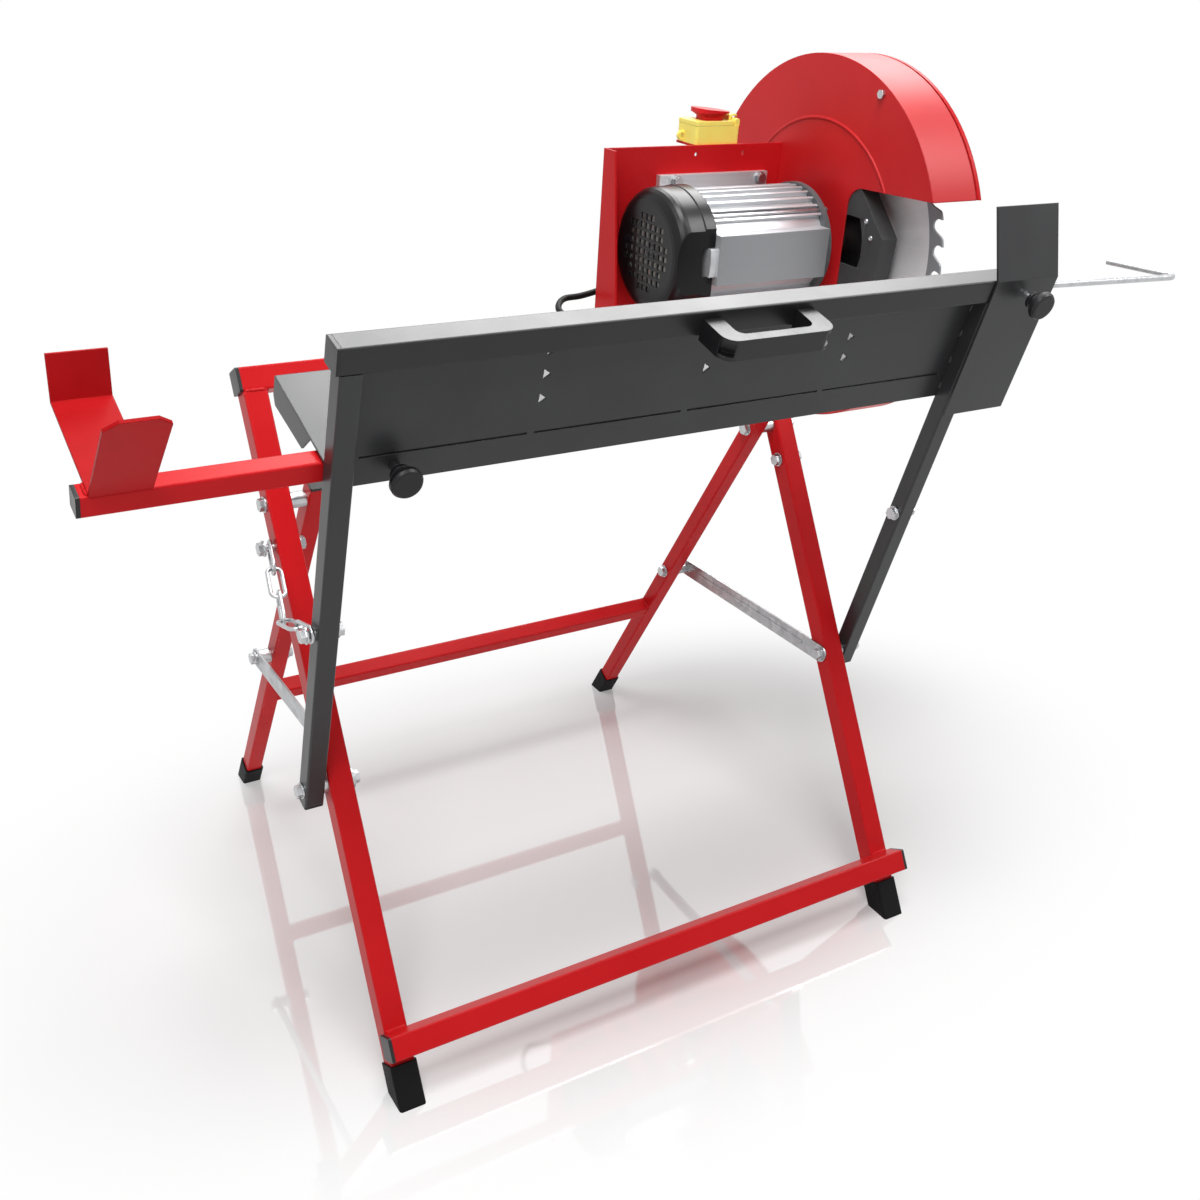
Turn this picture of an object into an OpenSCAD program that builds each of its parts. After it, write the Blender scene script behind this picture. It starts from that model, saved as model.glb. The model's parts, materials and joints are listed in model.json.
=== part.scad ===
/* [Stand] */
// Width over the outer faces of the front legs
leg_span = 670; // [600:1:760]
// Square tube of the front legs, foot bar and top bar
leg_tube = 25; // [22:0.5:30]
// Wall of every square tube
tube_wall = 1.5; // [1:0.1:2.5]
// Outer corner radius of every square tube
tube_round = 2; // [1:0.1:3]
// Lean of the front legs to the rear, in degrees
front_lean = 31; // [26:0.5:34]
// Height of the top bar along the front legs, to its middle
top_bar_at = 746; // [720:1:790]
// Height of the foot bar along the front legs, to its middle
foot_bar_at = 60.5; // [56:0.5:90]
// How far the foot bar runs past each leg
foot_bar_over = 2; // [0:0.5:12]
// Height of the leg pivot along the front legs
leg_pivot_at = 619; // [600:1:660]
// Height of the chain bolt along the front legs
chain_bolt_at = 575; // [560:1:590]
// Square tube of the rear legs and their cross bar
rear_tube = 20; // [18:0.5:25]
// Lean of the rear legs to the front, in degrees
rear_lean = 29.4; // [26:0.2:34]
// Room between a front leg and the rear leg beside it
leg_gap = 17; // [15:0.5:24]
// Rear leg left above its pivot
rear_top = 22; // [18:1:34]
// Height of the cross bar along the rear legs
cross_bar_at = 223.5; // [150:0.5:260]
// Height of the stay's bolt along the rear legs
stay_bolt_at = 312; // [296:1:330]
// Width of a stay
stay_w = 22; // [18:0.5:28]
// Sheet thickness of a stay
stay_t = 2.5; // [2:0.1:3]
// Wall of a rubber foot
foot_wall = 2; // [1.5:0.1:4]
// Height of a rubber foot along its leg
foot_len = 38; // [30:1:44]
// Sole under a leg's end
foot_sole = 4; // [3:0.5:8]
// Head of a plastic end plug
plug_head = 3.5; // [2:0.1:6]
// Stem of a plastic end plug
plug_stem = 12; // [8:1:20]

/* [Cradle] */
// Height of the cradle pivot along the front legs
cradle_pivot_at = 329; // [315:1:345]
// Lean of the cradle posts to the front at rest, in degrees
cradle_lean = 14.7; // [12:0.1:17]
// Square tube of the posts
post_tube = 20; // [18:0.5:24]
// Room between a post and the front leg beside it
post_gap = 5; // [4:0.5:9]
// Post left below its pivot
post_tail = 16; // [13:0.5:24]
// Pivot to the top of the hand rail
cradle_height = 514; // [500:1:540]
// Square tube of the hand rail
rail_tube = 25; // [22:0.5:30]
// Chain bolt on the post, measured from the pivot
post_bolt_at = 212.5; // [208:0.5:217]
// Pivot to the lower edge of the front panel
panel_bottom = 367; // [355:1:368]
// Sheet thickness of the panel and the trough plate
sheet_t = 2; // [1.5:0.1:2.5]
// Pivot to the trough plate, where it meets the panel
trough_at = 396; // [394:0.5:405]
// Depth of the trough plate
trough_depth = 120; // [100:1:135]
// Rise of the trough plate above square to the panel, in degrees
trough_rise = 4; // [0:0.5:8]
// Depth of the trough plate's folded edges
trough_flange = 26; // [20:1:32]
// Width of the end plate from the inside of the right post
end_plate_w = 87; // [84:1:110]
// Pivot to the lower edge of the end plate
end_plate_low = 354; // [330:1:380]
// Sheet thickness of the end plate
end_plate_t = 2.5; // [2:0.1:4]
// Length of the end plate's upper lip
lip_len = 74; // [60:1:90]
// Fold of the upper lip to the rear, in degrees
lip_fold = 29.5; // [25:0.5:50]

/* [Handle] */
// Width of the handle
handle_w = 125; // [105:1:150]
// Middle of the handle along the rail
handle_x = 42; // [-60:0.5:60]
// How far the handle stands out from the rail
handle_out = 40.5; // [36:0.5:55]
// Depth of the handle's bar
handle_bar = 10.5; // [9:0.5:14]
// Width of the handle's arms
handle_arm = 19.5; // [16:0.5:24]
// Height of the handle
handle_h = 21; // [16:0.5:24]
// Middle of the handle below the middle of the rail
handle_drop = 5.5; // [0:0.5:7]

/* [Log extension] */
// Square tube of the log extension
ext_tube = 20; // [18:0.5:22]
// Left end of the extension tube, left of the left post
ext_reach = 193; // [180:1:260]
// Length of the extension tube
ext_len = 430; // [400:1:480]
// Sliding clearance of the tube in its guide, each side
slide_clear = 0.3; // [0.2:0.05:0.5]
// Wall of the guide
guide_wall = 2; // [1.5:0.1:3]
// Length of the guide
guide_len = 218; // [150:1:260]
// Width of the bent log support
support_w = 49; // [40:1:70]
// Sheet thickness of the log support
support_t = 3; // [2:0.1:4]
// Rear lip of the log support
support_lip = 41; // [30:1:60]
// Sloping back of the log support
support_back = 119; // [90:1:150]
// Front flap of the log support
support_front = 121; // [90:1:150]

/* [Length stop] */
// Radius of the stop rod
rod_r = 3.5; // [3:0.1:4.5]
// Straight length of the stop rod past the hand rail's end
rod_out = 226; // [180:1:280]
// Length of the stop rod inside the hand rail
rod_in = 280; // [240:1:320]
// Length of the bent end of the stop rod
rod_leg = 68; // [50:1:90]
// Turn of the bent end, in degrees
rod_turn = 108.5; // [90:0.5:125]
// Bend radius of the stop rod
rod_bend = 12; // [10:0.5:20]

/* [Knobs] */
// Radius of a clamp knob
knob_r = 15; // [12:0.5:18]
// Depth of a clamp knob
knob_depth = 20; // [16:0.5:24]
// Radius of a clamp knob's screw
knob_screw_r = 3; // [2.5:0.1:4]
// Clamp knob of the extension, right of the left post
ext_knob_in = 44; // [30:1:90]
// Clamp knob of the stop, left of the hand rail's end
stop_knob_in = 35; // [25:1:60]

/* [Blade] */
// Diameter of the saw blade
blade_d = 400; // [380:1:410]
// Thickness of the saw blade
blade_t = 2.8; // [2.2:0.1:4]
// Number of teeth
blade_teeth = 40; // [24:1:60]
// Depth of the gullets
gullet = 15.5; // [12:0.5:18]
// Radius of the clamping flanges
flange_r = 66; // [50:1:75]
// Thickness of a clamping flange
flange_t = 6; // [4:0.5:7]
// Radius of the arbor
arbor_r = 10; // [9:0.5:11]
// Blade axis behind the top bar
axis_back = 58.5; // [56:0.5:66]
// Blade axis above the top bar
axis_rise = 84; // [82:0.5:95]

/* [Guard] */
// Room between the blade's teeth and the rim of the guard
guard_room = 25; // [23:0.5:45]
// Width of the guard over its rim
guard_w = 69; // [66:1:80]
// Sheet thickness of the guard
guard_t = 2; // [1.5:0.1:3]
// Room between the end plate and the guard
guard_gap = 13; // [6:0.5:20]
// Dark joint between the guard's rim and its cover
guard_joint = 3; // [2:0.5:5]
// Height of the log opening above the axis
mouth_up = 80; // [70:1:100]
// Rise of the log opening's upper edge to the front, in degrees
mouth_slope = 3; // [0:0.5:6]
// Height of the log opening below the axis
mouth_down = 120; // [100:1:135]
// Distance of the log opening's rear edge in front of the axis
mouth_front = 62; // [50:1:75]
// Corner radius of the log opening
mouth_round = 25; // [10:1:35]

/* [Motor] */
// Radius of the stator housing
housing_r = 66; // [64:0.5:68]
// Length of the stator housing
housing_len = 165; // [155:1:185]
// Wall of the stator housing
housing_wall = 10; // [8:0.5:12]
// Height of the cooling fins
fin_h = 6; // [3:0.5:8]
// Thickness of a cooling fin
fin_t = 3; // [2:0.1:4]
// Radius of the fan cover
fan_cover_r = 76; // [74.5:0.5:78]
// Length of the fan cover
fan_cover_len = 54; // [50:1:64]
// Wall of the fan cover
fan_cover_wall = 2; // [1.5:0.1:3]
// Axis to the carrier plate
motor_height = 79; // [78:0.5:84]
// Thickness of the motor's foot plate
foot_plate_t = 8; // [5:0.5:9]
// Room between the motor and the guard
motor_gap = 12; // [8:0.5:20]
// Sheet thickness of the carrier plate
plate_t = 3; // [2:0.1:5]
// Width of the carrier plate
plate_w = 269; // [262:1:300]
// Carrier plate above the axis
plate_up = 108.5; // [100:0.5:125]
// Carrier plate below the axis
plate_down = 121; // [115:1:122]

/* [Switch] */
// Width of the switch box
switch_w = 67; // [60:1:80]
// Depth of the switch box
switch_d = 42.5; // [40:0.5:50]
// Height of the switch box
switch_h = 22; // [18:0.5:30]
// Left side of the switch box, from the plate's left edge
switch_in = 134; // [80:1:170]
// Rounding circle of the stop cap's top
cap_r = 21; // [16:0.5:21]

/* [Chain] */
// Wire of a chain link
link_wire = 4; // [3:0.1:4.2]
// Inner length of a chain link
link_len = 40; // [39.5:0.1:40.5]
// Inner width of a chain link
link_w = 10; // [9.4:0.1:12]

/* [Fits] */
// Radius of the main bolts
bolt_r = 4; // [3:0.1:5]
// Play of a bolt in its hole, on the radius
bolt_play = 0.06; // [0.03:0.01:0.1]
// Face play between pieces that turn against each other
face_play = 0.3; // [0.2:0.05:0.5]

/* [Hidden] */
$fn = 48;

// Colours of the finishes
paint_red = "#c8262b";
paint_black = "#3a3a3c";
zinc = "#c9cccf";
silver = "#b4b7ba";
plastic_black = "#1c1c1e";
switch_yellow = "#f3c63f";
cap_red = "#cf1f24";
cable_black = "#151516";
button_green = "#3f8f46";
varnish = "#8a5a34";

// Places across the stand, on the right-hand side
half_span = leg_span / 2;
leg_in = half_span - leg_tube;
leg_x = half_span - leg_tube / 2;
rear_out = leg_in - leg_gap;
rear_in = rear_out - rear_tube;
rear_x = rear_out - rear_tube / 2;
post_in = half_span + post_gap;
post_x = post_in + post_tube / 2;
post_out = post_in + post_tube;
rail_end = post_in + end_plate_w - 4;

// Points on the front legs, as [y, z] from the floor
function on_leg(s) = [s * sin(front_lean), s * cos(front_lean)];
leg_pivot = on_leg(leg_pivot_at);
cradle_pivot = on_leg(cradle_pivot_at);
chain_bolt = on_leg(chain_bolt_at);
bar_mid = on_leg(top_bar_at);
rear_y = leg_pivot[0] + leg_pivot[1] * tan(rear_lean);
rear_pivot_at = leg_pivot[1] / cos(rear_lean);

// Point of the cradle, as [y, z], from its own depth and height
function on_cradle(y, z) = [
    cradle_pivot[0] + y * cos(cradle_lean) - z * sin(cradle_lean),
    cradle_pivot[1] + y * sin(cradle_lean) + z * cos(cradle_lean)];
post_bolt = on_cradle(0, post_bolt_at);
rail_y = (rail_tube - post_tube) / 2;
rail_z = cradle_height - rail_tube / 2;
rail_low = cradle_height - rail_tube;

// Blade, guard and motor along the axis
axis_y = bar_mid[0] + axis_back;
axis_z = bar_mid[1] + axis_rise;
guard_r = blade_d / 2 + guard_room;
guard_x = post_in + end_plate_w + guard_gap;
cover_x = guard_x + guard_w + guard_joint;
blade_x = guard_x + 38;
motor_right = guard_x - motor_gap;
shield_len = 22;
housing_x = motor_right - shield_len - housing_len;
fan_shield_t = 16;
fan_cover_x = housing_x - fan_cover_len;
housing_bore = housing_r - housing_wall;
rotor_r = housing_bore * 0.62;
air_gap = 0.5;
bearing_r = 23.5;
bearing_w = 14;
shaft_end = blade_x + 27;
tie_r = housing_r + 3.5;
shield_r = housing_r + 8;
fan_r = fan_cover_r - 14;
fan_in = 12;
fan_hub_r = arbor_r + 8;
fan_hub_len = 18;
fan_blade_t = 2.4;
fan_blade_len = 16;
rotor_inset = 27;
spigot_r = arbor_r + 5;
bearing_play = 0.04;
tie_rod_r = 2.5;
tie_angles = [45, 135, 225, 315];
plate_y = axis_y + motor_height;
plate_x = guard_x - plate_w;
foot_half = 75;
foot_bolt_z = foot_half - 8;
foot_plate_x = housing_x + 7;
foot_plate_w = housing_len + 2;
plate_wing = [22, 51];
panel_front = motor_height - 3;
panel_low = 27;
panel_high = 32;
fin_pitch = 10;
fan_edge = 18;
fan_flat = fan_cover_r - 9.5;
fan_window = [fan_cover_len - 17, 17];
fan_step = 1.2;
fan_step_at = fan_cover_len - 16;
grille_pitch = 10.5;
grille_hole = 7;
grille_r = 46;
guard_bolt_in = guard_r - 11;
guard_bolt_angles = [117, 20, -60, -122];
emboss_r = guard_r * 2 / 3;
cover_lip = 5;
arbor_cover_d = 24;
arbor_cover_t = 3;
arbor_points = [[-82, 80], [-132, 28], [-127, -25], [-85, -85], [20, -95], [80, -50], [80, 50], [20, 92]];
arbor_window = [-98, -15, 52, 60];
arm_top = axis_z - fan_cover_r - 4;
terminal_w = 15;
terminal_d = 26;
terminal_x = housing_x + 2;
arm_room = 4;
arm_mids = [max(half_span - 2.3 * leg_tube, terminal_x + terminal_w + arm_room + leg_tube / 2), leg_x];

// Guide and tube of the log extension, in the cradle's own depth and height
guide_out = ext_tube + 2 * (slide_clear + guide_wall);
guide_in = ext_tube + 2 * slide_clear;
guide_y = post_tube / 2 + guide_out / 2;
guide_z = trough_at - sheet_t / 2 - guide_out / 2;
ext_left = -post_out - ext_reach;
support_x = ext_left + 6;
knob_ext_x = -post_in + ext_knob_in;
knob_stop_x = rail_end - stop_knob_in;
knob_nut = 6;
rod_drop = rail_tube / 2 - tube_wall - rod_r - 1.5;
rod_push = 50;
rod_droop = atan2(2 * rod_drop, rod_in + rod_push);
rod_z = rail_z - rod_drop;
knob_stop_z = rod_z + stop_knob_in * tan(rod_droop);
rod_corner = rail_end + (plug_head + rod_out) * cos(rod_droop);
bush_stem = min(27, stop_knob_in - 2 * knob_screw_r - 2);
rod_lap = 0.3;
rod_thin = 0.02;
panel_y = post_tube / 2 - sheet_t;
plate_front = -post_tube / 2 - end_plate_t;
tab_gap = 8;
tab_len = (2 * post_in - 22 - 3 * tab_gap) / 4;
barb = 5.5;
barbs = [[-164, 480], [-164, 456], [-164, 431], [10, 441], [181, 456], [181, 432]];
handle_corner = 14;
handle_inner = 9;
handle_pocket = [15, 9, 13];
knob_stand = 9;
tab_sink = 1.2;
support_splay = 120;
support_lip_turn = 76.5;
support_chamfer = 15;

// Stays, from the cradle pivot bolt to a bolt on the rear leg
stay_x = leg_in - stay_t;
stay_low = cradle_pivot;
stay_high = [rear_y - stay_bolt_at * sin(rear_lean), stay_bolt_at * cos(rear_lean)];
stay_len = norm(stay_high - stay_low);
stay_tilt = atan2(stay_high[1] - stay_low[1], stay_high[0] - stay_low[0]);
stay_bead_w = 5;
stay_bead_h = 1.2;
stay_bead_in = 34;

// Switch, its hinge, cap and button
switch_low = axis_z + plate_up;
switch_top = switch_low + switch_h;
switch_mid = [plate_x + switch_in + switch_w / 2, plate_y + plate_t + switch_d / 2];
hinge_r = 3.5;
hinge_pin_r = 1.5;
hinge_x = switch_mid[0] + switch_w / 2 - hinge_r - 0.5;
hinge_z = switch_top + 5;
knuckle = switch_d - 8 - 6 - 2 * 0.4;
flap_low = switch_top + 0.3;
flap_t = 5;
button_r = 4.5;
button_x = switch_mid[0] - switch_w / 2 + 8;
cap_x = switch_mid[0];
cap_travel = 3;
cap_low = flap_low + cap_travel + 0.4;
cap_slope = 5;
cap_neck = [2 * cap_r - 8, 2 * cap_r - 14, 12];
cap_layers = [[0, 7.5, cap_neck[0], cap_neck[1], cap_neck[2]], [7.5, 1.5, 2 * cap_r - 4, 2 * cap_r - 11, 13],
    [9, 1.5, 2 * cap_r + 1, 2 * cap_r - 8, 14], [10.5, 5.5, 2 * cap_r + 6, 2 * cap_r - 4, 15]];
bail = [hinge_r + 2.3, hinge_r + 4.6, 55];
eye_r = 6;

// Origin at the middle of the box that holds the whole saw
origin_x = (rod_corner + rod_r + ext_left - plug_head) / 2;
front_edge = -(leg_tube / 2 + foot_wall) / cos(front_lean);
rear_edge = max(rear_y + (rear_tube / 2 + foot_wall) / cos(rear_lean), axis_y + guard_r);
origin_y = (front_edge + rear_edge) / 2;

// Bolt sizes
head_r = bolt_r * 1.75;
head_h = bolt_r * 1.3;
washer_r = bolt_r * 2.1;
washer_t = 1.5;
hole_r = bolt_r + bolt_play;
cut = 1;
far = 900;

// Route of the motor lead, from the gland under the plate's top fold round its left edge to the motor
lead_r = 4;
lead_sides = 10;
lead_gland_len = 14;
gland_r = 7.5;
gland_nut = 5;
lead_unit = plate_w / 269;
lead_drop = fan_cover_r + fan_step + gland_r + 0.6;
lead_top = [switch_mid[0], switch_mid[1] + 8, axis_z + plate_up - plate_t - lead_gland_len];
lead_end = [terminal_x - lead_gland_len, axis_y, axis_z - lead_drop];
lead_points = concat(
    [for (q = [[0, 0, 0], [0, 0, -12], [0, 0, -26], [-4, -4, -48], [-14, -8, -74], [-32, -10, -100],
        [-56, -10, -124], [-84, -8, -143], [-114, -4, -156], [-144, 0, -165], [-172, 0, -170]])
        lead_top + lead_unit * q],
    [for (q = [[-85, 112, 5], [-104, 94, 3], [-115, 70, 1], [-114, 44, 0], [-102, 22, 0], [-82, 7, 0],
        [-58, 1, 0], [-36, 0, 0], [-18, 0, 0], [0, 0, 0]]) lead_end + lead_unit * q]);

// Chain, from the leg's bolt to the open link and from the post's bolt to it
link_slack = 0.4;
link_room = 2 * washer_t + link_wire + 1;
link_lift = 1.2;
chain_upper_len = 3 * link_len - 2 * link_slack - bolt_r - 0.3 - link_wire / 2 - 0.5;
chain_lower_len = 2 * link_len - link_slack - bolt_r - 0.3 + link_wire / 2;
chain_top = [-half_span - link_wire / 2 - washer_t - link_lift, chain_bolt[0], chain_bolt[1]];
chain_low = [-post_out - link_wire / 2 - washer_t - 0.5, post_bolt[0], post_bolt[1]];
chain_upper_drop = sqrt(pow(chain_upper_len, 2) - pow(chain_low[0] - chain_top[0], 2));
chain_span = norm([chain_low[1] - chain_top[1], chain_low[2] - chain_top[2]]);
chain_dip = acos((pow(chain_upper_drop, 2) + pow(chain_span, 2) - pow(chain_lower_len, 2))
    / (2 * chain_upper_drop * chain_span));
chain_base = atan2(chain_low[2] - chain_top[2], chain_low[1] - chain_top[1]);
chain_mid = [
    chain_low[0],
    chain_top[1] + chain_upper_drop * cos(chain_base + chain_dip),
    chain_top[2] + chain_upper_drop * sin(chain_base + chain_dip)];

// Frames of reference
module placed() { translate([-origin_x, -origin_y, 0]) children(); }
module front_frame() { rotate([-front_lean, 0, 0]) children(); }
module rear_frame() { translate([0, rear_y, 0]) rotate([rear_lean, 0, 0]) children(); }
module cradle_frame() {
    translate([0, cradle_pivot[0], cradle_pivot[1]]) rotate([cradle_lean, 0, 0]) children();
}
module at_axis(x) { translate([x, axis_y, axis_z]) rotate([90, 0, 90]) children(); }
module along_x(x) { translate([x, 0, 0]) rotate([0, 90, 0]) children(); }
module both_sides() {
    children();
    mirror([1, 0, 0]) children();
}

// Basic shapes
module round_rect(w, d, r) {
    square([w - 2 * r, d], center = true);
    square([w, d - 2 * r], center = true);
    for (sx = [-1, 1], sy = [-1, 1])
        translate([sx * (w / 2 - r), sy * (d / 2 - r)]) circle(r, $fn = 24);
}
module bar(w, len) { linear_extrude(len) round_rect(w, w, tube_round); }
module tube(w, len) {
    linear_extrude(len) difference() {
        round_rect(w, w, tube_round);
        square(w - 2 * tube_wall, center = true);
    }
}
module floor_cut(z) { translate([-far, -far, z - far]) cube([2 * far, 2 * far, far]); }
module cross_hole(x, s, w, r = hole_r) {
    translate([x - w / 2 - cut, 0, s]) rotate([0, 90, 0]) cylinder(r = r, h = w + 2 * cut);
}
module hex(r, h) { cylinder(r = r, h = h, $fn = 6); }
module ring(r_out, r_in, h) {
    difference() {
        cylinder(r = r_out, h = h);
        translate([0, 0, -cut]) cylinder(r = r_in, h = h + 2 * cut);
    }
}
module plug(w) {
    linear_extrude(plug_head) round_rect(w, w, tube_round);
    translate([0, 0, -plug_stem]) linear_extrude(plug_stem)
        square(w - 2 * tube_wall - 0.1, center = true);
}
// Bolt along +X from its head's seat at 0 to the far seat at grip, with washers and a nut
module through_bolt(grip, nut = true) {
    rotate([0, 90, 0]) {
        translate([0, 0, -washer_t - head_h]) hex(head_r, head_h);
        translate([0, 0, -washer_t]) cylinder(r = washer_r, h = washer_t);
        translate([0, 0, -cut]) cylinder(r = bolt_r, h = grip + 2 * cut);
        if (nut) {
            translate([0, 0, grip]) cylinder(r = washer_r, h = washer_t);
            translate([0, 0, grip + washer_t]) hex(head_r, head_h);
        }
    }
}

// Front legs, bars and feet
module front_leg(side) {
    color(paint_red) placed() difference() {
        front_frame() difference() {
            translate([side * leg_x, 0, -leg_tube]) tube(leg_tube, top_bar_at - leg_tube / 2 + leg_tube);
            for (s = [leg_pivot_at, chain_bolt_at, cradle_pivot_at]) cross_hole(side * leg_x, s, leg_tube);
        }
        floor_cut(foot_sole);
    }
}
module front_leg_left() { front_leg(-1); }
module front_leg_right() { front_leg(1); }
module top_bar() {
    color(paint_red) placed() front_frame()
        translate([-half_span, 0, top_bar_at]) rotate([0, 90, 0]) tube(leg_tube, leg_span);
}
module foot_bar() {
    color(paint_red) placed() front_frame()
        translate([-half_span - foot_bar_over, -leg_tube, foot_bar_at])
        rotate([0, 90, 0]) tube(leg_tube, leg_span + 2 * foot_bar_over);
}
module foot_shell(w, x) {
    translate([x, 0, -2 * w]) linear_extrude(2 * w + foot_len)
        round_rect(w + 2 * foot_wall, w + 2 * foot_wall, tube_round + foot_wall / 2);
}
module front_feet() {
    color(plastic_black) placed() for (side = [-1, 1]) difference() {
        front_frame() foot_shell(leg_tube, side * leg_x);
        difference() {
            front_frame() translate([side * leg_x, 0, -leg_tube]) bar(leg_tube, foot_len + 2 * leg_tube);
            floor_cut(foot_sole);
        }
        floor_cut(0);
    }
}
module stand_plugs() {
    color(plastic_black) placed() front_frame() both_sides() {
        translate([half_span, 0, top_bar_at]) rotate([0, 90, 0]) plug(leg_tube);
        translate([half_span + foot_bar_over, -leg_tube, foot_bar_at]) rotate([0, 90, 0]) plug(leg_tube);
    }
}

// Rear legs, their bar, feet and stays
module rear_leg(side) {
    color(paint_red) placed() difference() {
        rear_frame() difference() {
            translate([side * rear_x, 0, -rear_tube]) tube(rear_tube, rear_pivot_at + rear_top + rear_tube);
            for (s = [rear_pivot_at, stay_bolt_at]) cross_hole(side * rear_x, s, rear_tube);
        }
        floor_cut(foot_sole);
    }
}
module rear_leg_left() { rear_leg(-1); }
module rear_leg_right() { rear_leg(1); }
module rear_cross_bar() {
    color(paint_red) placed() rear_frame()
        translate([-rear_in, 0, cross_bar_at]) rotate([0, 90, 0]) tube(rear_tube, 2 * rear_in);
}
module rear_feet() {
    color(plastic_black) placed() for (side = [-1, 1]) difference() {
        rear_frame() foot_shell(rear_tube, side * rear_x);
        difference() {
            rear_frame() translate([side * rear_x, 0, -rear_tube]) bar(rear_tube, foot_len + 2 * rear_tube);
            floor_cut(foot_sole);
        }
        floor_cut(0);
    }
}
module rear_plugs() {
    color(plastic_black) placed() rear_frame() both_sides()
        translate([rear_x, 0, rear_pivot_at + rear_top]) plug(rear_tube);
}

// Stays: flat straps with a stamped bead, bolted to the front and the rear legs
module stay_outline() {
    translate([0, -stay_w / 2]) square([stay_len, stay_w]);
    circle(stay_w / 2);
    translate([stay_len, 0]) circle(stay_w / 2);
}
module stay(side) {
    color(zinc) placed() translate([side * stay_x, stay_low[0], stay_low[1]])
        mirror([side < 0 ? 1 : 0, 0, 0]) rotate([stay_tilt, 0, 0]) rotate([90, 0, 90]) difference() {
            union() {
                linear_extrude(stay_t) stay_outline();
                translate([stay_bead_in, -stay_bead_w / 2, -stay_bead_h])
                    cube([stay_len - 2 * stay_bead_in, stay_bead_w, stay_bead_h]);
            }
            for (u = [0, stay_len]) translate([u, 0, -cut]) cylinder(r = hole_r, h = stay_t + 2 * cut);
        }
}
module stay_left() { stay(-1); }
module stay_right() { stay(1); }
module stay_bolts() {
    color(zinc) placed() rear_frame() both_sides() translate([0, 0, stay_bolt_at]) {
        along_x(rear_out) cylinder(r = washer_r, h = stay_x - rear_out);
        translate([rear_in, 0, 0]) through_bolt(stay_x + stay_t - rear_in);
    }
}

// Bolts of the stand
module leg_pivot_bolts() {
    color(zinc) placed() front_frame() both_sides() translate([0, 0, leg_pivot_at]) {
        along_x(rear_out) cylinder(r = washer_r, h = leg_gap);
        mirror([1, 0, 0]) translate([-half_span, 0, 0]) through_bolt(half_span - rear_in);
    }
}
module stand_bolts() {
    color(zinc) placed() front_frame() {
        // Cradle pivots: post, spacer, leg and stay on one bolt
        both_sides() translate([0, 0, cradle_pivot_at]) {
            along_x(half_span) cylinder(r = washer_r, h = post_gap - face_play);
            mirror([1, 0, 0]) translate([-post_out - face_play, 0, 0])
                through_bolt(post_out + face_play - stay_x);
        }
        // Chain bolts, the left one with room for the end link under its head
        translate([-half_span - link_room - 2 * link_lift, 0, chain_bolt_at])
            through_bolt(leg_tube + link_room + 2 * link_lift);
        translate([half_span, 0, chain_bolt_at]) mirror([1, 0, 0]) through_bolt(leg_tube);
    }
}

// Arms and plate that carry the motor and the guard
module motor_arms() {
    color(paint_red) placed() difference() {
        for (x = arm_mids) translate([x, bar_mid[0], arm_top - leg_tube / 2])
            rotate([-90, 0, 0]) tube(leg_tube, plate_y - bar_mid[0]);
        front_frame() {
            translate([-half_span - cut, 0, top_bar_at]) rotate([0, 90, 0]) bar(leg_tube, leg_span + 2 * cut);
            translate([leg_x, 0, 0]) bar(leg_tube, top_bar_at);
        }
    }
}
module at_foot_bolts() {
    for (x = [foot_plate_x + 25, foot_plate_x + foot_plate_w - 12], side = [-1, 1])
        translate([x, plate_y - foot_plate_t, axis_z + side * foot_bolt_z]) rotate([0, 0, 90]) children();
}
module motor_plate() {
    color(paint_red) placed() difference() {
        union() {
            translate([plate_x, plate_y, axis_z - plate_down])
                cube([plate_w, plate_t, plate_down + plate_up]);
            translate([switch_mid[0] - switch_w / 2, plate_y, axis_z + plate_up - plate_t])
                cube([switch_w, plate_t + switch_d, plate_t]);
            at_axis(plate_x) linear_extrude(plate_t) polygon([
                [motor_height + plate_t, -plate_down], [motor_height + plate_t, plate_up],
                [motor_height - plate_wing[0], plate_up], [motor_height - plate_wing[1], -plate_down]]);
        }
        at_foot_bolts() rotate([0, 90, 0]) cylinder(r = hole_r, h = foot_plate_t + plate_t + cut);
        for (x = [0.5, 0.77]) translate([plate_x + x * plate_w, plate_y - cut, axis_z + plate_up - 11])
            rotate([-90, 0, 0]) cylinder(r = 2.5, h = plate_t + 2 * cut, $fn = 24);
    }
}

// Guard round the blade: shell, cover, their spaced bolts and the cover over the arbor
module mouth() {
    corner = [-mouth_front - mouth_round, mouth_up - mouth_round];
    bend = arc(corner, mouth_round, 0, 90 - mouth_slope, 12);
    polygon(concat([[-2 * guard_r, -mouth_down], [-mouth_front, -mouth_down]], bend,
        [bend[12] + 2 * guard_r * [-cos(mouth_slope), sin(mouth_slope)]]));
}
module at_guard_bolts() {
    for (a = guard_bolt_angles) rotate(a) translate([guard_bolt_in, 0]) children();
}
module guard_disc(hole = 0) {
    linear_extrude(guard_t) difference() {
        circle(guard_r, $fn = 120);
        mouth();
        if (hole > 0) circle(hole);
        at_guard_bolts() circle(3.06, $fn = 24);
    }
}
module guard_rim(h) {
    linear_extrude(h) difference() {
        circle(guard_r, $fn = 120);
        circle(guard_r - guard_t, $fn = 120);
        mouth();
    }
}
module guard_shell() {
    color(paint_red) placed() at_axis(guard_x) {
        guard_disc(arbor_r + 8);
        guard_rim(guard_w);
        difference() {
            rotate_extrude($fn = 96) translate([emboss_r, 0.4]) circle(2, $fn = 16);
            translate([0, 0, -4]) linear_extrude(8) mouth();
        }
    }
}
module guard_cover() {
    color(paint_red) placed() at_axis(cover_x) {
        guard_disc();
        guard_rim(cover_lip);
    }
}
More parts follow.
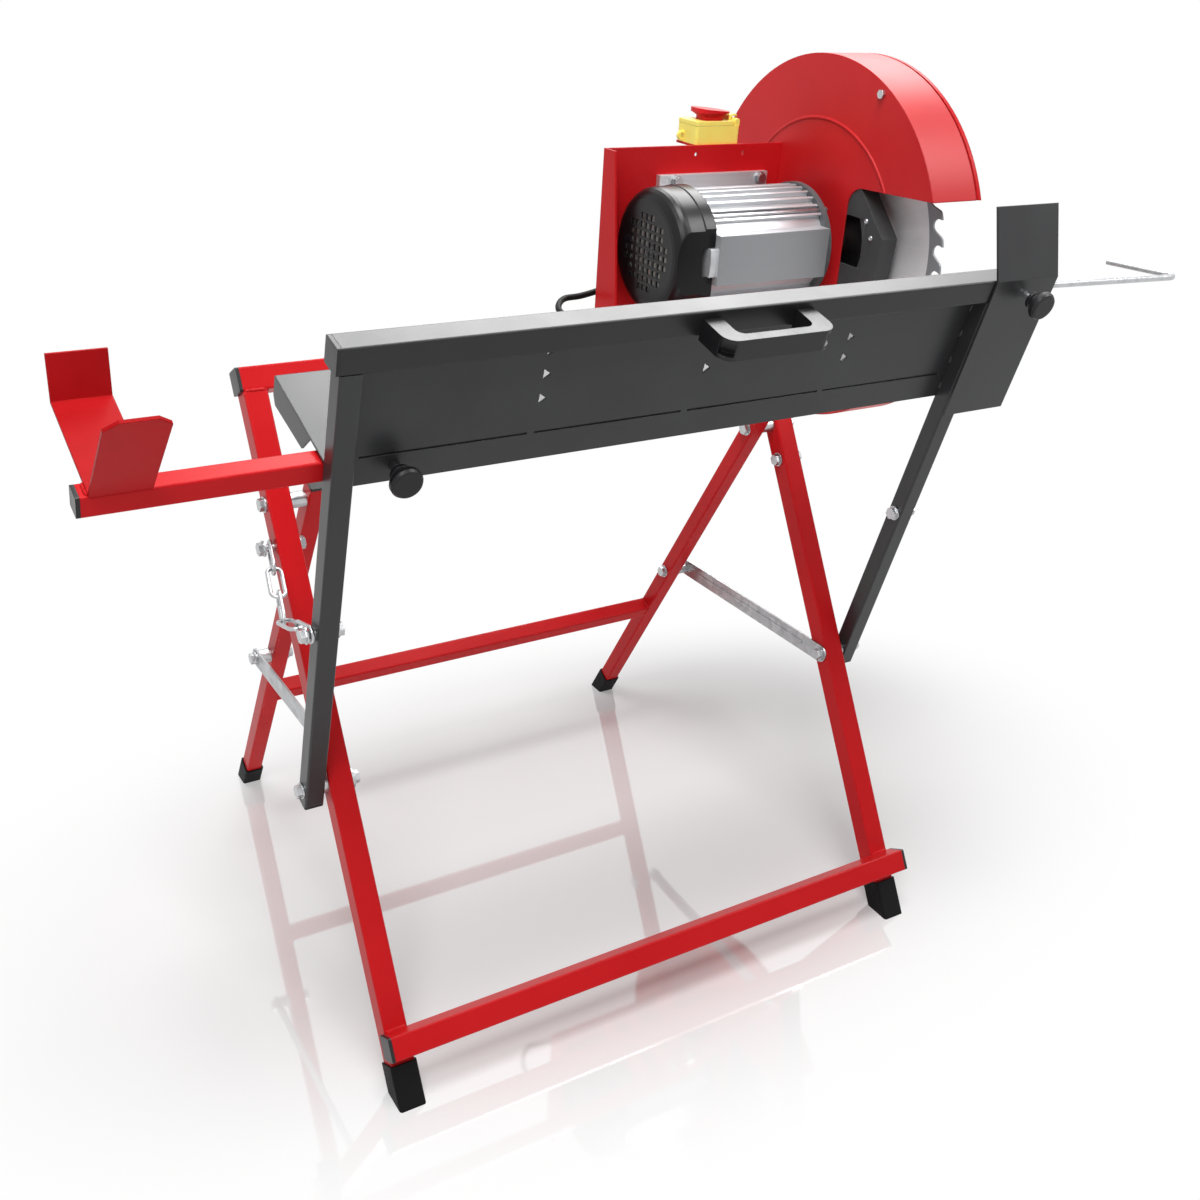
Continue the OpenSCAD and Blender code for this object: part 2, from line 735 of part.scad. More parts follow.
module guard_bolts() {
    color(zinc) placed() at_axis(guard_x) at_guard_bolts() {
        translate([0, 0, guard_t]) cylinder(r = 6, h = cover_x - guard_x - guard_t, $fn = 24);
        translate([0, 0, -cut]) cylinder(r = 3, h = cover_x - guard_x + guard_t + 2 * cut, $fn = 24);
        translate([0, 0, -4]) hex(5.5, 4);
        translate([0, 0, cover_x - guard_x + guard_t]) hex(5.5, 4);
    }
}
module arbor_cover() {
    color(plastic_black) placed() at_axis(guard_x + guard_t) difference() {
        linear_extrude(arbor_cover_d) polygon(arbor_points);
        translate([0, 0, arbor_cover_t]) linear_extrude(arbor_cover_d) polygon(arbor_points * 0.94);
        translate([0, 0, -cut]) cylinder(r = arbor_r + 8, h = arbor_cover_t + 2 * cut);
        translate([arbor_window[0], arbor_window[1], -cut])
            cube([arbor_window[2], arbor_window[3], arbor_cover_t + 2 * cut]);
    }
}

// Motor
module at_tie_rods() { for (a = tie_angles) rotate(a) translate([tie_r, 0]) children(); }
module motor_housing() {
    color(silver) placed() at_axis(housing_x) linear_extrude(housing_len) difference() {
        union() {
            circle(housing_r, $fn = 72);
            translate([-panel_front, -panel_low]) square([panel_front - 30, panel_low + panel_high]);
            translate([30, -35]) square([motor_height - foot_plate_t - 30, 70]);
            for (side = [-1, 1], i = [-3 : 5]) rotate(side * (90 + fin_pitch * i))
                translate([housing_r - 2, -fin_t / 2]) square([fin_h + 2, fin_t]);
        }
        circle(housing_bore, $fn = 72);
    }
}
module motor_foot() {
    color(silver) placed() difference() {
        translate([foot_plate_x, plate_y - foot_plate_t, axis_z - foot_half])
            cube([foot_plate_w, foot_plate_t, 2 * foot_half]);
        at_foot_bolts() translate([-cut, 0, 0]) rotate([0, 90, 0])
            cylinder(r = hole_r, h = foot_plate_t + 2 * cut);
    }
}
module drive_end_shield() {
    color(silver) placed() at_axis(housing_x + housing_len) difference() {
        rotate_extrude($fn = 72) polygon([
            [bearing_r, 0], [shield_r, 0], [shield_r, 8], [shield_r - 12, 8], [36, shield_len - 2],
            [34, shield_len], [arbor_r + 2, shield_len], [arbor_r + 2, bearing_w + 2],
            [bearing_r, bearing_w + 2]]);
        translate([0, 0, -cut]) at_tie_rods() cylinder(r = tie_rod_r + bolt_play, h = 8 + 2 * cut, $fn = 24);
        translate([motor_height - foot_plate_t - 0.2, -far, -cut]) cube([far, 2 * far, shield_len]);
    }
}
module fan_end_shield() {
    color(silver) placed() at_axis(housing_x - fan_shield_t) difference() {
        rotate_extrude($fn = 72) polygon([
            [arbor_r + 2, 0], [40, 0], [40, fan_shield_t - 10],
            [fan_cover_r - fan_cover_wall, fan_shield_t - 10],
            [fan_cover_r - fan_cover_wall, fan_shield_t], [bearing_r, fan_shield_t],
            [bearing_r, fan_shield_t - bearing_w], [arbor_r + 2, fan_shield_t - bearing_w]]);
        translate([0, 0, -cut]) at_tie_rods()
            cylinder(r = tie_rod_r + bolt_play, h = fan_shield_t + 2 * cut, $fn = 24);
        // Flat under the fan cover's flat, with a lug left in its window
        for (side = [0, 1]) mirror([0, side, 0])
            translate([-far - fan_flat + fan_cover_wall + 0.1, fan_window[1] - 0.5, -cut])
            cube([far, far, fan_shield_t + 2 * cut]);
    }
}
function arc(mid, r, a0, a1, n = 6) = [for (i = [0 : n]) let (a = a0 + (a1 - a0) * i / n)
    mid + r * [cos(a), sin(a)]];
// Dome of the fan cover with a flat at the front, drawn twice for its two faces
module fan_dome(r, edge, base, len, flat) {
    difference() {
        rotate_extrude($fn = 72) polygon(concat(
            [[0, base]], arc([r - edge, base + edge], edge, -90, 0),
            base > 0 ? [[r, len]] : [[r, fan_step_at], [r + fan_step, fan_step_at + fan_step], [r + fan_step, len]],
            [[0, len]]));
        translate([-far - flat, -far, -cut]) cube([far, 2 * far, far]);
    }
}
module fan_cover() {
    color(plastic_black) placed() at_axis(fan_cover_x) difference() {
        fan_dome(fan_cover_r, fan_edge, 0, fan_cover_len, fan_flat);
        fan_dome(fan_cover_r - fan_cover_wall, fan_edge - fan_cover_wall, fan_cover_wall, fan_cover_len + cut,
            fan_flat - fan_cover_wall);
        for (i = [-4 : 4], j = [-4 : 4]) if (norm([i, j]) * grille_pitch < grille_r)
            translate([i * grille_pitch - grille_hole / 2, j * grille_pitch - grille_hole / 2, -cut])
                cube([grille_hole, grille_hole, fan_cover_wall + 2 * cut]);
        translate([-far, -fan_window[1], fan_window[0]]) cube([far - fan_flat / 2, 2 * fan_window[1], far]);
    }
}
module motor_bolts() {
    color(zinc) placed() {
        at_foot_bolts() through_bolt(foot_plate_t + plate_t);
        at_axis(housing_x) at_tie_rods() {
            translate([0, 0, -10 - cut]) cylinder(r = tie_rod_r, h = housing_len + 18 + 2 * cut, $fn = 24);
            translate([0, 0, -14]) hex(4, 4);
            translate([0, 0, 0.4]) hex(4, 4);
            translate([0, 0, housing_len + 8]) hex(4, 4);
        }
    }
}
module stator() {
    color(varnish) placed() at_axis(housing_x + 25)
        ring(housing_bore, rotor_r + air_gap, housing_len - 50, $fn = 72);
}
module motor_bearings() {
    color(zinc) placed() {
        at_axis(housing_x + housing_len + 2) ring(bearing_r, arbor_r + bearing_play, bearing_w, $fn = 72);
        at_axis(housing_x - bearing_w) ring(bearing_r, arbor_r + bearing_play, bearing_w, $fn = 72);
    }
}
module rotor() {
    color(zinc) placed() {
        at_axis(fan_cover_x + 8) cylinder(r = arbor_r, h = shaft_end - fan_cover_x - 8, $fn = 72);
        at_axis(housing_x + rotor_inset) cylinder(r = rotor_r, h = housing_len - 2 * rotor_inset, $fn = 72);
    }
}
module cooling_fan() {
    color(plastic_black) placed() at_axis(fan_cover_x + fan_in) difference() {
        union() {
            cylinder(r = fan_hub_r, h = fan_hub_len);
            cylinder(r = fan_r, h = fan_cover_wall);
            for (i = [0 : 6]) rotate(i * 360 / 7) translate([fan_hub_r - 4, -fan_blade_t / 2, 0])
                cube([fan_r - fan_hub_r, fan_blade_t, fan_blade_len]);
        }
        translate([0, 0, -cut]) cylinder(r = arbor_r + 0.05, h = fan_hub_len + 2 * cut, $fn = 72);
    }
}

// Blade and what clamps it
tooth_shape = [[0, 0], [0.3, -0.06], [0.55, -0.07], [0.78, -0.03], [0.94, 0.06], [1, 0.17], [0.96, 0.28],
    [0.78, 0.39], [0.44, 0.53], [0.15, 0.64], [0.07, 0.7], [0.02, 0.85]];
function tooth_point(i, q) = (blade_d / 2 - gullet * q[0])
    * [cos((i + q[1]) * 360 / blade_teeth), sin((i + q[1]) * 360 / blade_teeth)];
module saw_blade() {
    color(zinc) placed() at_axis(blade_x - blade_t / 2) linear_extrude(blade_t) difference() {
        polygon([for (i = [0 : blade_teeth - 1], q = tooth_shape) tooth_point(i, q)]);
        circle(spigot_r + 0.05, $fn = 72);
    }
}
module blade_flanges() {
    color(zinc) placed() {
        at_axis(blade_x - blade_t / 2 - flange_t) difference() {
            union() {
                cylinder(r = flange_r, h = flange_t, $fn = 72);
                cylinder(r = spigot_r, h = flange_t + blade_t - 0.1, $fn = 72);
                translate([0, 0, -8]) cylinder(r = spigot_r + 3, h = 8 + cut, $fn = 72);
            }
            translate([0, 0, -8 - cut]) cylinder(r = arbor_r + 0.05, h = 40, $fn = 72);
        }
        at_axis(blade_x + blade_t / 2) ring(flange_r, arbor_r + 0.05, flange_t, $fn = 72);
    }
}
module arbor_nut() {
    color(zinc) placed() at_axis(blade_x + blade_t / 2 + flange_t) difference() {
        hex(17, 14);
        translate([0, 0, -cut]) cylinder(r = arbor_r + 0.05, h = 14 + 2 * cut, $fn = 72);
    }
}

// Switch on the plate's top fold
module switch_box() {
    color(switch_yellow) placed() {
        difference() {
            translate([switch_mid[0], switch_mid[1], switch_low])
                linear_extrude(switch_h) round_rect(switch_w, switch_d, 4);
            translate([button_x, switch_mid[1], switch_top - 14]) cylinder(r = button_r + face_play, h = 20);
        }
        for (side = [-1, 1]) translate([hinge_x, switch_mid[1] + side * (switch_d / 2 - 4), 0]) {
            translate([-hinge_r, -3, switch_top]) cube([2 * hinge_r, 6, hinge_z - switch_top]);
            translate([0, 3, hinge_z]) rotate([90, 0, 0]) cylinder(r = hinge_r, h = 6, $fn = 32);
        }
        translate([hinge_x, switch_mid[1] + switch_d / 2 - 4, hinge_z])
            rotate([90, 0, 0]) cylinder(r = hinge_pin_r, h = switch_d - 8, $fn = 32);
        // Padlock eye on the left side
        translate([switch_mid[0] - switch_w / 2 - eye_r / 3, switch_mid[1] + switch_d / 4, switch_low + eye_r + 1])
            rotate([90, 0, 0]) ring(eye_r, eye_r / 2, 5, $fn = 32);
    }
}
module switch_flap() {
    color(switch_yellow) placed() difference() {
        union() {
            translate([(switch_mid[0] - switch_w / 2 + hinge_x - hinge_r - 1) / 2, switch_mid[1], flap_low])
                linear_extrude(flap_t)
                round_rect(hinge_x - hinge_r - 1 - switch_mid[0] + switch_w / 2, switch_d, 3);
            translate([hinge_x, switch_mid[1] + knuckle / 2, hinge_z])
                rotate([90, 0, 0]) cylinder(r = hinge_r, h = knuckle, $fn = 32);
            translate([hinge_x - hinge_r - 3, switch_mid[1] - knuckle / 2, hinge_z - 1])
                cube([hinge_r + 3, knuckle, 2]);
            // Bail over the hinge
            translate([hinge_x, switch_mid[1] + knuckle / 2 - 2, hinge_z]) rotate([90, 0, 0])
                linear_extrude(knuckle - 4)
                polygon(concat(arc([0, 0], bail[1], bail[2], 183, 14), arc([0, 0], bail[0], 183, bail[2], 14)));
        }
        translate([hinge_x, switch_mid[1] + knuckle, hinge_z])
            rotate([90, 0, 0]) cylinder(r = hinge_pin_r + bolt_play, h = 2 * knuckle, $fn = 32);
        translate([button_x, switch_mid[1], flap_low - cut]) cylinder(r = button_r + 1, h = 3.6 + cut);
        translate([cap_x, switch_mid[1], flap_low - cut]) linear_extrude(flap_t + 2 * cut)
            round_rect(cap_neck[0] + 2 * face_play, cap_neck[1] + 2 * face_play, cap_neck[2] + face_play);
    }
}
module stop_cap() {
    color(cap_red) placed() translate([cap_x, switch_mid[1], cap_low]) difference() {
        for (l = cap_layers) translate([0, 0, l[0]]) linear_extrude(l[1]) round_rect(l[2], l[3], l[4]);
        translate([0, 0, cap_layers[3][0] + 3.6]) rotate([0, cap_slope, 0]) translate([-far, -far, 0])
            cube([2 * far, 2 * far, far]);
    }
}
module start_button() {
    color(button_green) placed() translate([button_x, switch_mid[1], switch_top - 8])
        cylinder(r = button_r, h = 11);
}

// Lead from the switch to the motor, with its two glands
function mix(a, b, c, d, t) = 0.5 * (2 * b + (c - a) * t + (2 * a - 5 * b + 4 * c - d) * t * t
    + (3 * b - a - 3 * c + d) * t * t * t);
lead_last = len(lead_points) - 1;
lead_path = concat(
    [for (i = [0 : lead_last - 1], k = [0 : 2]) mix(lead_points[max(i - 1, 0)], lead_points[i],
        lead_points[i + 1], lead_points[min(i + 2, lead_last)], k / 3)],
    [lead_points[lead_last]]);
lead_rings = len(lead_path);
function unit(v) = v / norm(v);
function lead_way(i) = unit(lead_path[min(i + 1, lead_rings - 1)] - lead_path[max(i - 1, 0)]);
function lead_side(t) = unit([0, 1, -1] - ([0, 1, -1] * t) * t);
function lead_ring(i, t) = [for (k = [0 : lead_sides - 1]) lead_path[i] + lead_r
    * (cos(360 * k / lead_sides) * lead_side(t) + sin(360 * k / lead_sides) * cross(t, lead_side(t)))];
module motor_lead() {
    spots = [for (i = [0 : lead_rings - 1]) each lead_ring(i, lead_way(i))];
    walls = [for (i = [0 : lead_rings - 2], k = [0 : lead_sides - 1]) [
        i * lead_sides + k, (i + 1) * lead_sides + k,
        (i + 1) * lead_sides + (k + 1) % lead_sides, i * lead_sides + (k + 1) % lead_sides]];
    ends = [[for (k = [0 : lead_sides - 1]) k],
        [for (k = [lead_sides - 1 : -1 : 0]) (lead_rings - 1) * lead_sides + k]];
    color(cable_black) placed() polyhedron(points = spots, faces = concat(walls, ends));
}
module lead_glands() {
    color(plastic_black) placed() {
        translate(lead_top) cylinder(r = gland_r, h = lead_gland_len);
        translate(lead_top) hex(gland_r + 2, gland_nut);
        translate(lead_end) rotate([0, 90, 0]) {
            cylinder(r = gland_r, h = lead_gland_len);
            hex(gland_r + 1, gland_nut);
        }
        translate([terminal_x, axis_y - terminal_d / 2, lead_end[2] - gland_r - 1])
            cube([terminal_w, terminal_d, axis_z - housing_r - fin_h - lead_end[2] + gland_r + 1]);
    }
}

// Cradle: posts, rail and sheets
module post(side) {
    color(paint_black) placed() cradle_frame() difference() {
        translate([side * post_x, 0, -post_tail]) tube(post_tube, rail_low + post_tail);
        for (s = [0, post_bolt_at]) cross_hole(side * post_x, s, post_tube);
    }
}
module left_post() { post(-1); }
module right_post() { post(1); }
module screw_hole(x, y, z, len) {
    translate([x, y, z]) rotate([-90, 0, 0]) cylinder(r = knob_screw_r + bolt_play, h = len, $fn = 32);
}
module top_rail() {
    color(paint_black) placed() cradle_frame() difference() {
        translate([-post_out, rail_y, rail_z]) rotate([0, 90, 0]) tube(rail_tube, post_out + rail_end);
        screw_hole(knob_stop_x, rail_y - rail_tube, knob_stop_z, rail_tube);
    }
}
module at_tabs() {
    for (i = [0 : 3]) translate([(i - 1.5) * (tab_len + tab_gap), 0, 0]) children();
}
module front_panel() {
    color(paint_black) placed() cradle_frame() {
        difference() {
            translate([-post_in, panel_y, panel_bottom])
                cube([2 * post_in, sheet_t, rail_low - panel_bottom]);
            at_tabs() translate([-tab_len / 2 - 0.5, panel_y - cut, trough_at - sheet_t / 2 - 0.15])
                cube([tab_len + 1, sheet_t + 2 * cut, sheet_t + 0.3]);
            screw_hole(knob_ext_x, panel_y - cut, guide_z, sheet_t + 2 * cut);
            for (b = barbs) translate([b[0], panel_y + sheet_t + cut, b[1]]) rotate([90, 0, 0])
                linear_extrude(sheet_t + 2 * cut) polygon([[0, -barb], [0, barb], [1.4 * barb, 0]]);
        }
        for (b = barbs) translate([b[0] - sheet_t, panel_y + sheet_t, b[1]]) rotate([90, 0, 90])
            linear_extrude(sheet_t) polygon([[0, -barb], [0, barb], [1.4 * barb, 0]]);
    }
}
module trough_plate() {
    color(paint_black) placed() cradle_frame() {
        at_tabs() translate([-tab_len / 2, panel_y + tab_sink, trough_at - sheet_t / 2])
            cube([tab_len, sheet_t - tab_sink + 0.4, sheet_t]);
        translate([0, panel_y + sheet_t + sheet_t / 2 * sin(trough_rise), trough_at])
            rotate([trough_rise, 0, 0]) {
                translate([-post_out, 0, -sheet_t / 2]) cube([2 * post_out, trough_depth, sheet_t]);
                for (x = [-post_out, post_out - sheet_t]) translate([x, 0, -sheet_t / 2])
                    rotate([90, 0, 90]) linear_extrude(sheet_t) polygon([
                        [guide_out + 6, cut], [guide_out + 22, -trough_flange + 4],
                        [trough_depth - 6, -trough_flange],
                        [trough_depth, -trough_flange + 8], [trough_depth, cut]]);
                translate([-post_out, trough_depth - sheet_t, -12]) cube([2 * post_out, sheet_t, 12]);
            }
    }
}
// Sheet bent once to the rear, as one profile drawn in depth and height
function bent_sheet(low, top, len, fold, t) = [
    [0, low], [0, top], [len * sin(fold), top + len * cos(fold)],
    [len * sin(fold) + t * cos(fold), top + len * cos(fold) - t * sin(fold)],
    [t, top - t * tan(fold / 2)], [t, low]];
module end_plate() {
    color(paint_black) placed() cradle_frame() difference() {
        translate([post_in, plate_front, 0]) rotate([90, 0, 90]) linear_extrude(end_plate_w)
            polygon(bent_sheet(end_plate_low, cradle_height, lip_len, lip_fold, end_plate_t));
        screw_hole(knob_stop_x, plate_front - cut, knob_stop_z, end_plate_t + 2 * cut);
    }
}
// Handle seen from above, from its front edge at 0 to the rail; the gap's front corners are rounded too
module handle_outline() {
    difference() {
        union() {
            translate([-handle_w / 2, handle_corner]) square([handle_w, handle_out - handle_corner]);
            translate([-handle_w / 2 + handle_corner, 0]) square([handle_w - 2 * handle_corner, handle_out]);
            for (side = [-1, 1]) translate([side * (handle_w / 2 - handle_corner), handle_corner])
                circle(handle_corner);
        }
        translate([-handle_w / 2 + handle_arm, handle_bar + handle_inner])
            square([handle_w - 2 * handle_arm, handle_out]);
        translate([-handle_w / 2 + handle_arm + handle_inner, handle_bar])
            square([handle_w - 2 * handle_arm - 2 * handle_inner, handle_out]);
        for (side = [-1, 1])
            translate([side * (handle_w / 2 - handle_arm - handle_inner), handle_bar + handle_inner])
            circle(handle_inner);
    }
}
module handle() {
    color(plastic_black) placed() cradle_frame()
        translate([handle_x, -post_tube / 2 - handle_out, rail_z - handle_drop]) difference() {
            translate([0, 0, -handle_h / 2]) linear_extrude(handle_h) handle_outline();
            // Pockets in the outer corners
            for (side = [-1, 1]) translate([side * (handle_w / 2 - handle_corner), handle_corner, 0])
                rotate([0, 0, -90 + side * 45]) translate([handle_corner, 0, 0])
                cube([2 * handle_pocket[1], handle_pocket[0], handle_pocket[2]], center = true);
        }
}
module extension_guide() {
    color(paint_black) placed() cradle_frame() difference() {
        translate([-post_in + 2, guide_y - guide_out / 2, guide_z - guide_out / 2])
            cube([guide_len, guide_out, guide_out]);
        translate([-post_in + 2 - cut, guide_y - guide_in / 2, guide_z - guide_in / 2])
            cube([guide_len + 2 * cut, guide_in, guide_in]);
        screw_hole(knob_ext_x, guide_y - guide_out / 2 - cut, guide_z, guide_wall + 2 * cut);
    }
}
module cradle_plugs() {
    color(plastic_black) placed() cradle_frame() {
        both_sides() translate([post_x, 0, -post_tail]) rotate([180, 0, 0]) plug(post_tube);
        translate([-post_out, rail_y, rail_z]) rotate([0, -90, 0]) plug(rail_tube);
        difference() {
            translate([rail_end, rail_y, rail_z]) rotate([0, 90, 0]) {
                plug(rail_tube);
                translate([0, 0, -bush_stem]) linear_extrude(bush_stem)
                    square(rail_tube - 2 * tube_wall - 0.1, center = true);
            }
            rod_frame() along_x(-bush_stem - 5) cylinder(r = rod_r + face_play, h = bush_stem + plug_head + 10);
        }
    }
}
module cradle_bolts() {
    color(zinc) placed() cradle_frame() translate([0, 0, post_bolt_at]) {
        translate([-post_out - link_room, 0, 0]) through_bolt(post_tube + link_room);
        mirror([1, 0, 0]) translate([-post_out, 0, 0]) through_bolt(post_tube);
    }
}
module weld_nut() {
    rotate([90, 0, 0]) difference() {
        hex(knob_screw_r * 2, knob_nut);
        translate([0, 0, -cut]) cylinder(r = knob_screw_r + bolt_play, h = knob_nut + 2 * cut, $fn = 32);
    }
}
// The stop's nut is inside the hand rail
module clamp_nuts() {
    color(paint_black) placed() cradle_frame() {
        translate([knob_ext_x, panel_y, guide_z]) weld_nut();
        translate([knob_stop_x, rail_y - rail_tube / 2 + tube_wall + knob_nut, knob_stop_z]) weld_nut();
    }
}

// Log extension, length stop and their clamp knobs
module extension_tube() {
    color(paint_red) placed() cradle_frame()
        translate([ext_left, guide_y, guide_z]) rotate([0, 90, 0]) tube(ext_tube, ext_len);
}
module extension_plug() {
    color(plastic_black) placed() cradle_frame()
        translate([ext_left, guide_y, guide_z]) rotate([0, -90, 0]) plug(ext_tube);
}
// Log support: one strip bent twice, as a mitred profile in depth and height
function heading(a) = [cos(a), sin(a)];
function mitre(a, b) = support_t / 2 / cos((b - a) / 2) * heading((a + b) / 2 + 90);
support_turns = [support_splay - 180, trough_rise, support_lip_turn];
support_fold = support_back * heading(trough_rise);
support_line = [support_front * heading(support_splay), [0, 0], support_fold,
    support_fold + support_lip * heading(support_lip_turn)];
support_half = [mitre(support_turns[0], support_turns[0]), mitre(support_turns[0], support_turns[1]),
    mitre(support_turns[1], support_turns[2]), mitre(support_turns[2], support_turns[2])];
module log_support() {
    color(paint_red) placed() cradle_frame()
        translate([support_x, guide_y - ext_tube / 2, guide_z + ext_tube / 2 + support_t / 2]) difference() {
            rotate([90, 0, 90]) linear_extrude(support_w) polygon(concat(
                [for (i = [0 : 3]) support_line[i] + support_half[i]],
                [for (i = [3 : -1 : 0]) support_line[i] - support_half[i]]));
            for (x = [0, support_w]) translate([x, 0, 0]) rotate([support_splay, 0, 0])
                translate([0, support_front, 0]) rotate([0, 0, 45])
                cube([support_chamfer, support_chamfer, 4 * support_t], center = true);
        }
}
// Knob along -Y with its hub at 0 and its screw running to the rear
module knob(screw) {
    rotate([90, 0, 0]) rotate_extrude() polygon([
        [0, 0], [7, 0], [9.5, 1.5], [9.5, 4.5], [7.5, 6], [7.5, 8], [knob_r - 2.5, knob_depth - 9],
        [knob_r - 0.6, knob_depth - 8], [knob_r, knob_depth - 7], [knob_r, knob_depth - 3],
        [knob_r - 1.5, knob_depth - 0.5], [knob_r - 3.5, knob_depth], [0, knob_depth]]);
    rotate([-90, 0, 0]) translate([0, 0, -cut]) cylinder(r = knob_screw_r, h = screw + cut, $fn = 32);
}
module extension_knob() {
    color(plastic_black) placed() cradle_frame()
        translate([knob_ext_x, panel_y - knob_nut - knob_stand / 2, guide_z])
        knob(guide_y - ext_tube / 2 - face_play - panel_y + knob_nut + knob_stand / 2);
}
module stop_knob() {
    color(plastic_black) placed() cradle_frame()
        translate([knob_stop_x, plate_front - knob_stand, knob_stop_z])
        knob(rail_y - rod_r - face_play - plate_front + knob_stand);
}
// The stop rod hangs a little in the hand rail, and its bent end lies level.
// The bend is drawn a hair thinner than the straights that run into it.
module rod_frame() {
    translate([rail_end, rail_y, rod_z]) rotate([0, rod_droop, 0]) rotate([-cradle_lean, 0, 0]) children();
}
module stop_rod() {
    bend_x = plug_head + rod_out - rod_bend;
    tail = rod_turn - 90;
    color(zinc) placed() cradle_frame() rod_frame() {
        along_x(-rod_in) cylinder(r = rod_r, h = bend_x + rod_in + rod_lap);
        translate([bend_x, rod_bend, 0]) {
            rotate([0, 0, -90]) rotate_extrude(angle = rod_turn)
                translate([rod_bend, 0]) circle(rod_r - rod_thin, $fn = 32);
            translate(rod_bend * [cos(tail), sin(tail), 0]) rotate([0, 0, rod_turn]) along_x(-rod_lap)
                cylinder(r = rod_r, h = rod_leg + rod_lap);
        }
    }
}

// Chain that stops the cradle's forward swing
module link() {
    bend = (link_w + link_wire) / 2;
    half = (link_len + link_wire) / 2 - bend;
    for (side = [-1, 1]) {
        translate([-half, side * bend, 0]) rotate([0, 90, 0])
            cylinder(r = link_wire / 2, h = 2 * half, $fn = 16);
        translate([side * half, 0, 0]) rotate([0, 0, -90 * side]) rotate_extrude(angle = 180, $fn = 32)
            translate([bend, 0]) circle(link_wire / 2, $fn = 16);
    }
}
module chain_run(from, to, links) {
    d = to - from;
    color(zinc) placed() translate(from) rotate([atan2(d[2], d[1]), 0, 0])
        rotate([0, 0, 90 + atan2(-d[0], norm([d[1], d[2]]))]) for (i = [0 : links - 1])
            translate([link_len / 2 - bolt_r - 0.3 + i * (link_len - link_slack), 0, 0])
                rotate([i % 2 == 0 ? 90 : 0, 0, 0]) link();
}
module chain_upper() { chain_run(chain_top, chain_mid, 3); }
module chain_lower() { chain_run(chain_low, chain_mid, 2); }

front_leg_left();
front_leg_right();
top_bar();
foot_bar();
front_feet();
stand_plugs();
motor_arms();
motor_plate();
guard_shell();
guard_cover();
guard_bolts();
arbor_cover();
motor_housing();
motor_foot();
drive_end_shield();
fan_end_shield();
fan_cover();
motor_bolts();
stator();
motor_bearings();
switch_box();
motor_lead();
lead_glands();
leg_pivot_bolts();
stand_bolts();
rear_leg_left();
rear_leg_right();
rear_cross_bar();
rear_feet();
rear_plugs();
stay_bolts();
stay_left();
stay_right();
left_post();
right_post();
top_rail();
front_panel();
trough_plate();
end_plate();
handle();
extension_guide();
cradle_plugs();
cradle_bolts();
clamp_nuts();
extension_tube();
log_support();
extension_plug();
extension_knob();
stop_rod();
stop_knob();
saw_blade();
blade_flanges();
arbor_nut();
rotor();
cooling_fan();
switch_flap();
stop_cap();
start_button();
chain_upper();
chain_lower();
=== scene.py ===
import json
import math
import random
import bmesh
import bpy
from mathutils import Matrix, Vector


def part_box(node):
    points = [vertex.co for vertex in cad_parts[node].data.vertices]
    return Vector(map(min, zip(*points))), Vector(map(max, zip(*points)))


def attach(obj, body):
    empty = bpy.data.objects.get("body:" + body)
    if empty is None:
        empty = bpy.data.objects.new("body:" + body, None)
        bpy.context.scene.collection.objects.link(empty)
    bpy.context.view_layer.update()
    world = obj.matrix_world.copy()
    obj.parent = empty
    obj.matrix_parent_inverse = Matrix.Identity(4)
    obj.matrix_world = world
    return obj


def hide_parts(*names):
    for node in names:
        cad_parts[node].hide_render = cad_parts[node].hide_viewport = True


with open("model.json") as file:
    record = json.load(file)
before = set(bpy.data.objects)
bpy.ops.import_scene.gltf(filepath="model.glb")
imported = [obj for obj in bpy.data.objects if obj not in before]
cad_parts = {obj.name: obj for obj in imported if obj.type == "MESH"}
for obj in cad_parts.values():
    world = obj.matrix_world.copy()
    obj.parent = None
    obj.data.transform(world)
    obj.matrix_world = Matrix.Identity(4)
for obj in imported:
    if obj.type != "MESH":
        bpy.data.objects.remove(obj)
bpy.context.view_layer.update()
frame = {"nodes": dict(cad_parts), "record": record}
nodes = frame["nodes"]
scene = bpy.context.scene
scene.view_settings.view_transform = "Standard"
mm = 0.001
print("frame loaded:", len(nodes), "nodes")

# places are written in mm in the drawing's own frames and brought into the shared frame here
drawing = {
    "shift": (-49.674, -325.401, 0),  # brings the drawing's middle over the shared origin
    "legLean": -31,  # degrees
    "rearFoot": (0, 617.779, 0),
    "rearLean": 29.4,
    "cradlePivot": (0, 169.448, 282.008),
    "cradleLean": 14.7,
    "arborMid": (0, 442.718, 723.447),
}


def leaning(lean, place=(0, 0, 0)):
    return Matrix.Translation(place) @ Matrix.Rotation(math.radians(lean), 4, "X")


toShared = Matrix.Scale(mm, 4) @ Matrix.Translation(drawing["shift"])
upright = leaning(0)
legFrame = leaning(drawing["legLean"])
rearFrame = leaning(drawing["rearLean"], drawing["rearFoot"])
cradleFrame = leaning(drawing["cradleLean"], drawing["cradlePivot"])
arborMid = Vector(drawing["arborMid"])

# the camera stands to the left of the handle, at about chest height
cameraView = {
    "place": (-730.68, -930.76, 1087.09),
    "turn": 32.84,  # degrees to the right of straight ahead
    "dip": 26.81,
    "roll": 3.86,
    "lens": 40.87,
    "sensor": 36,
    "clip": (10, 60000),
}


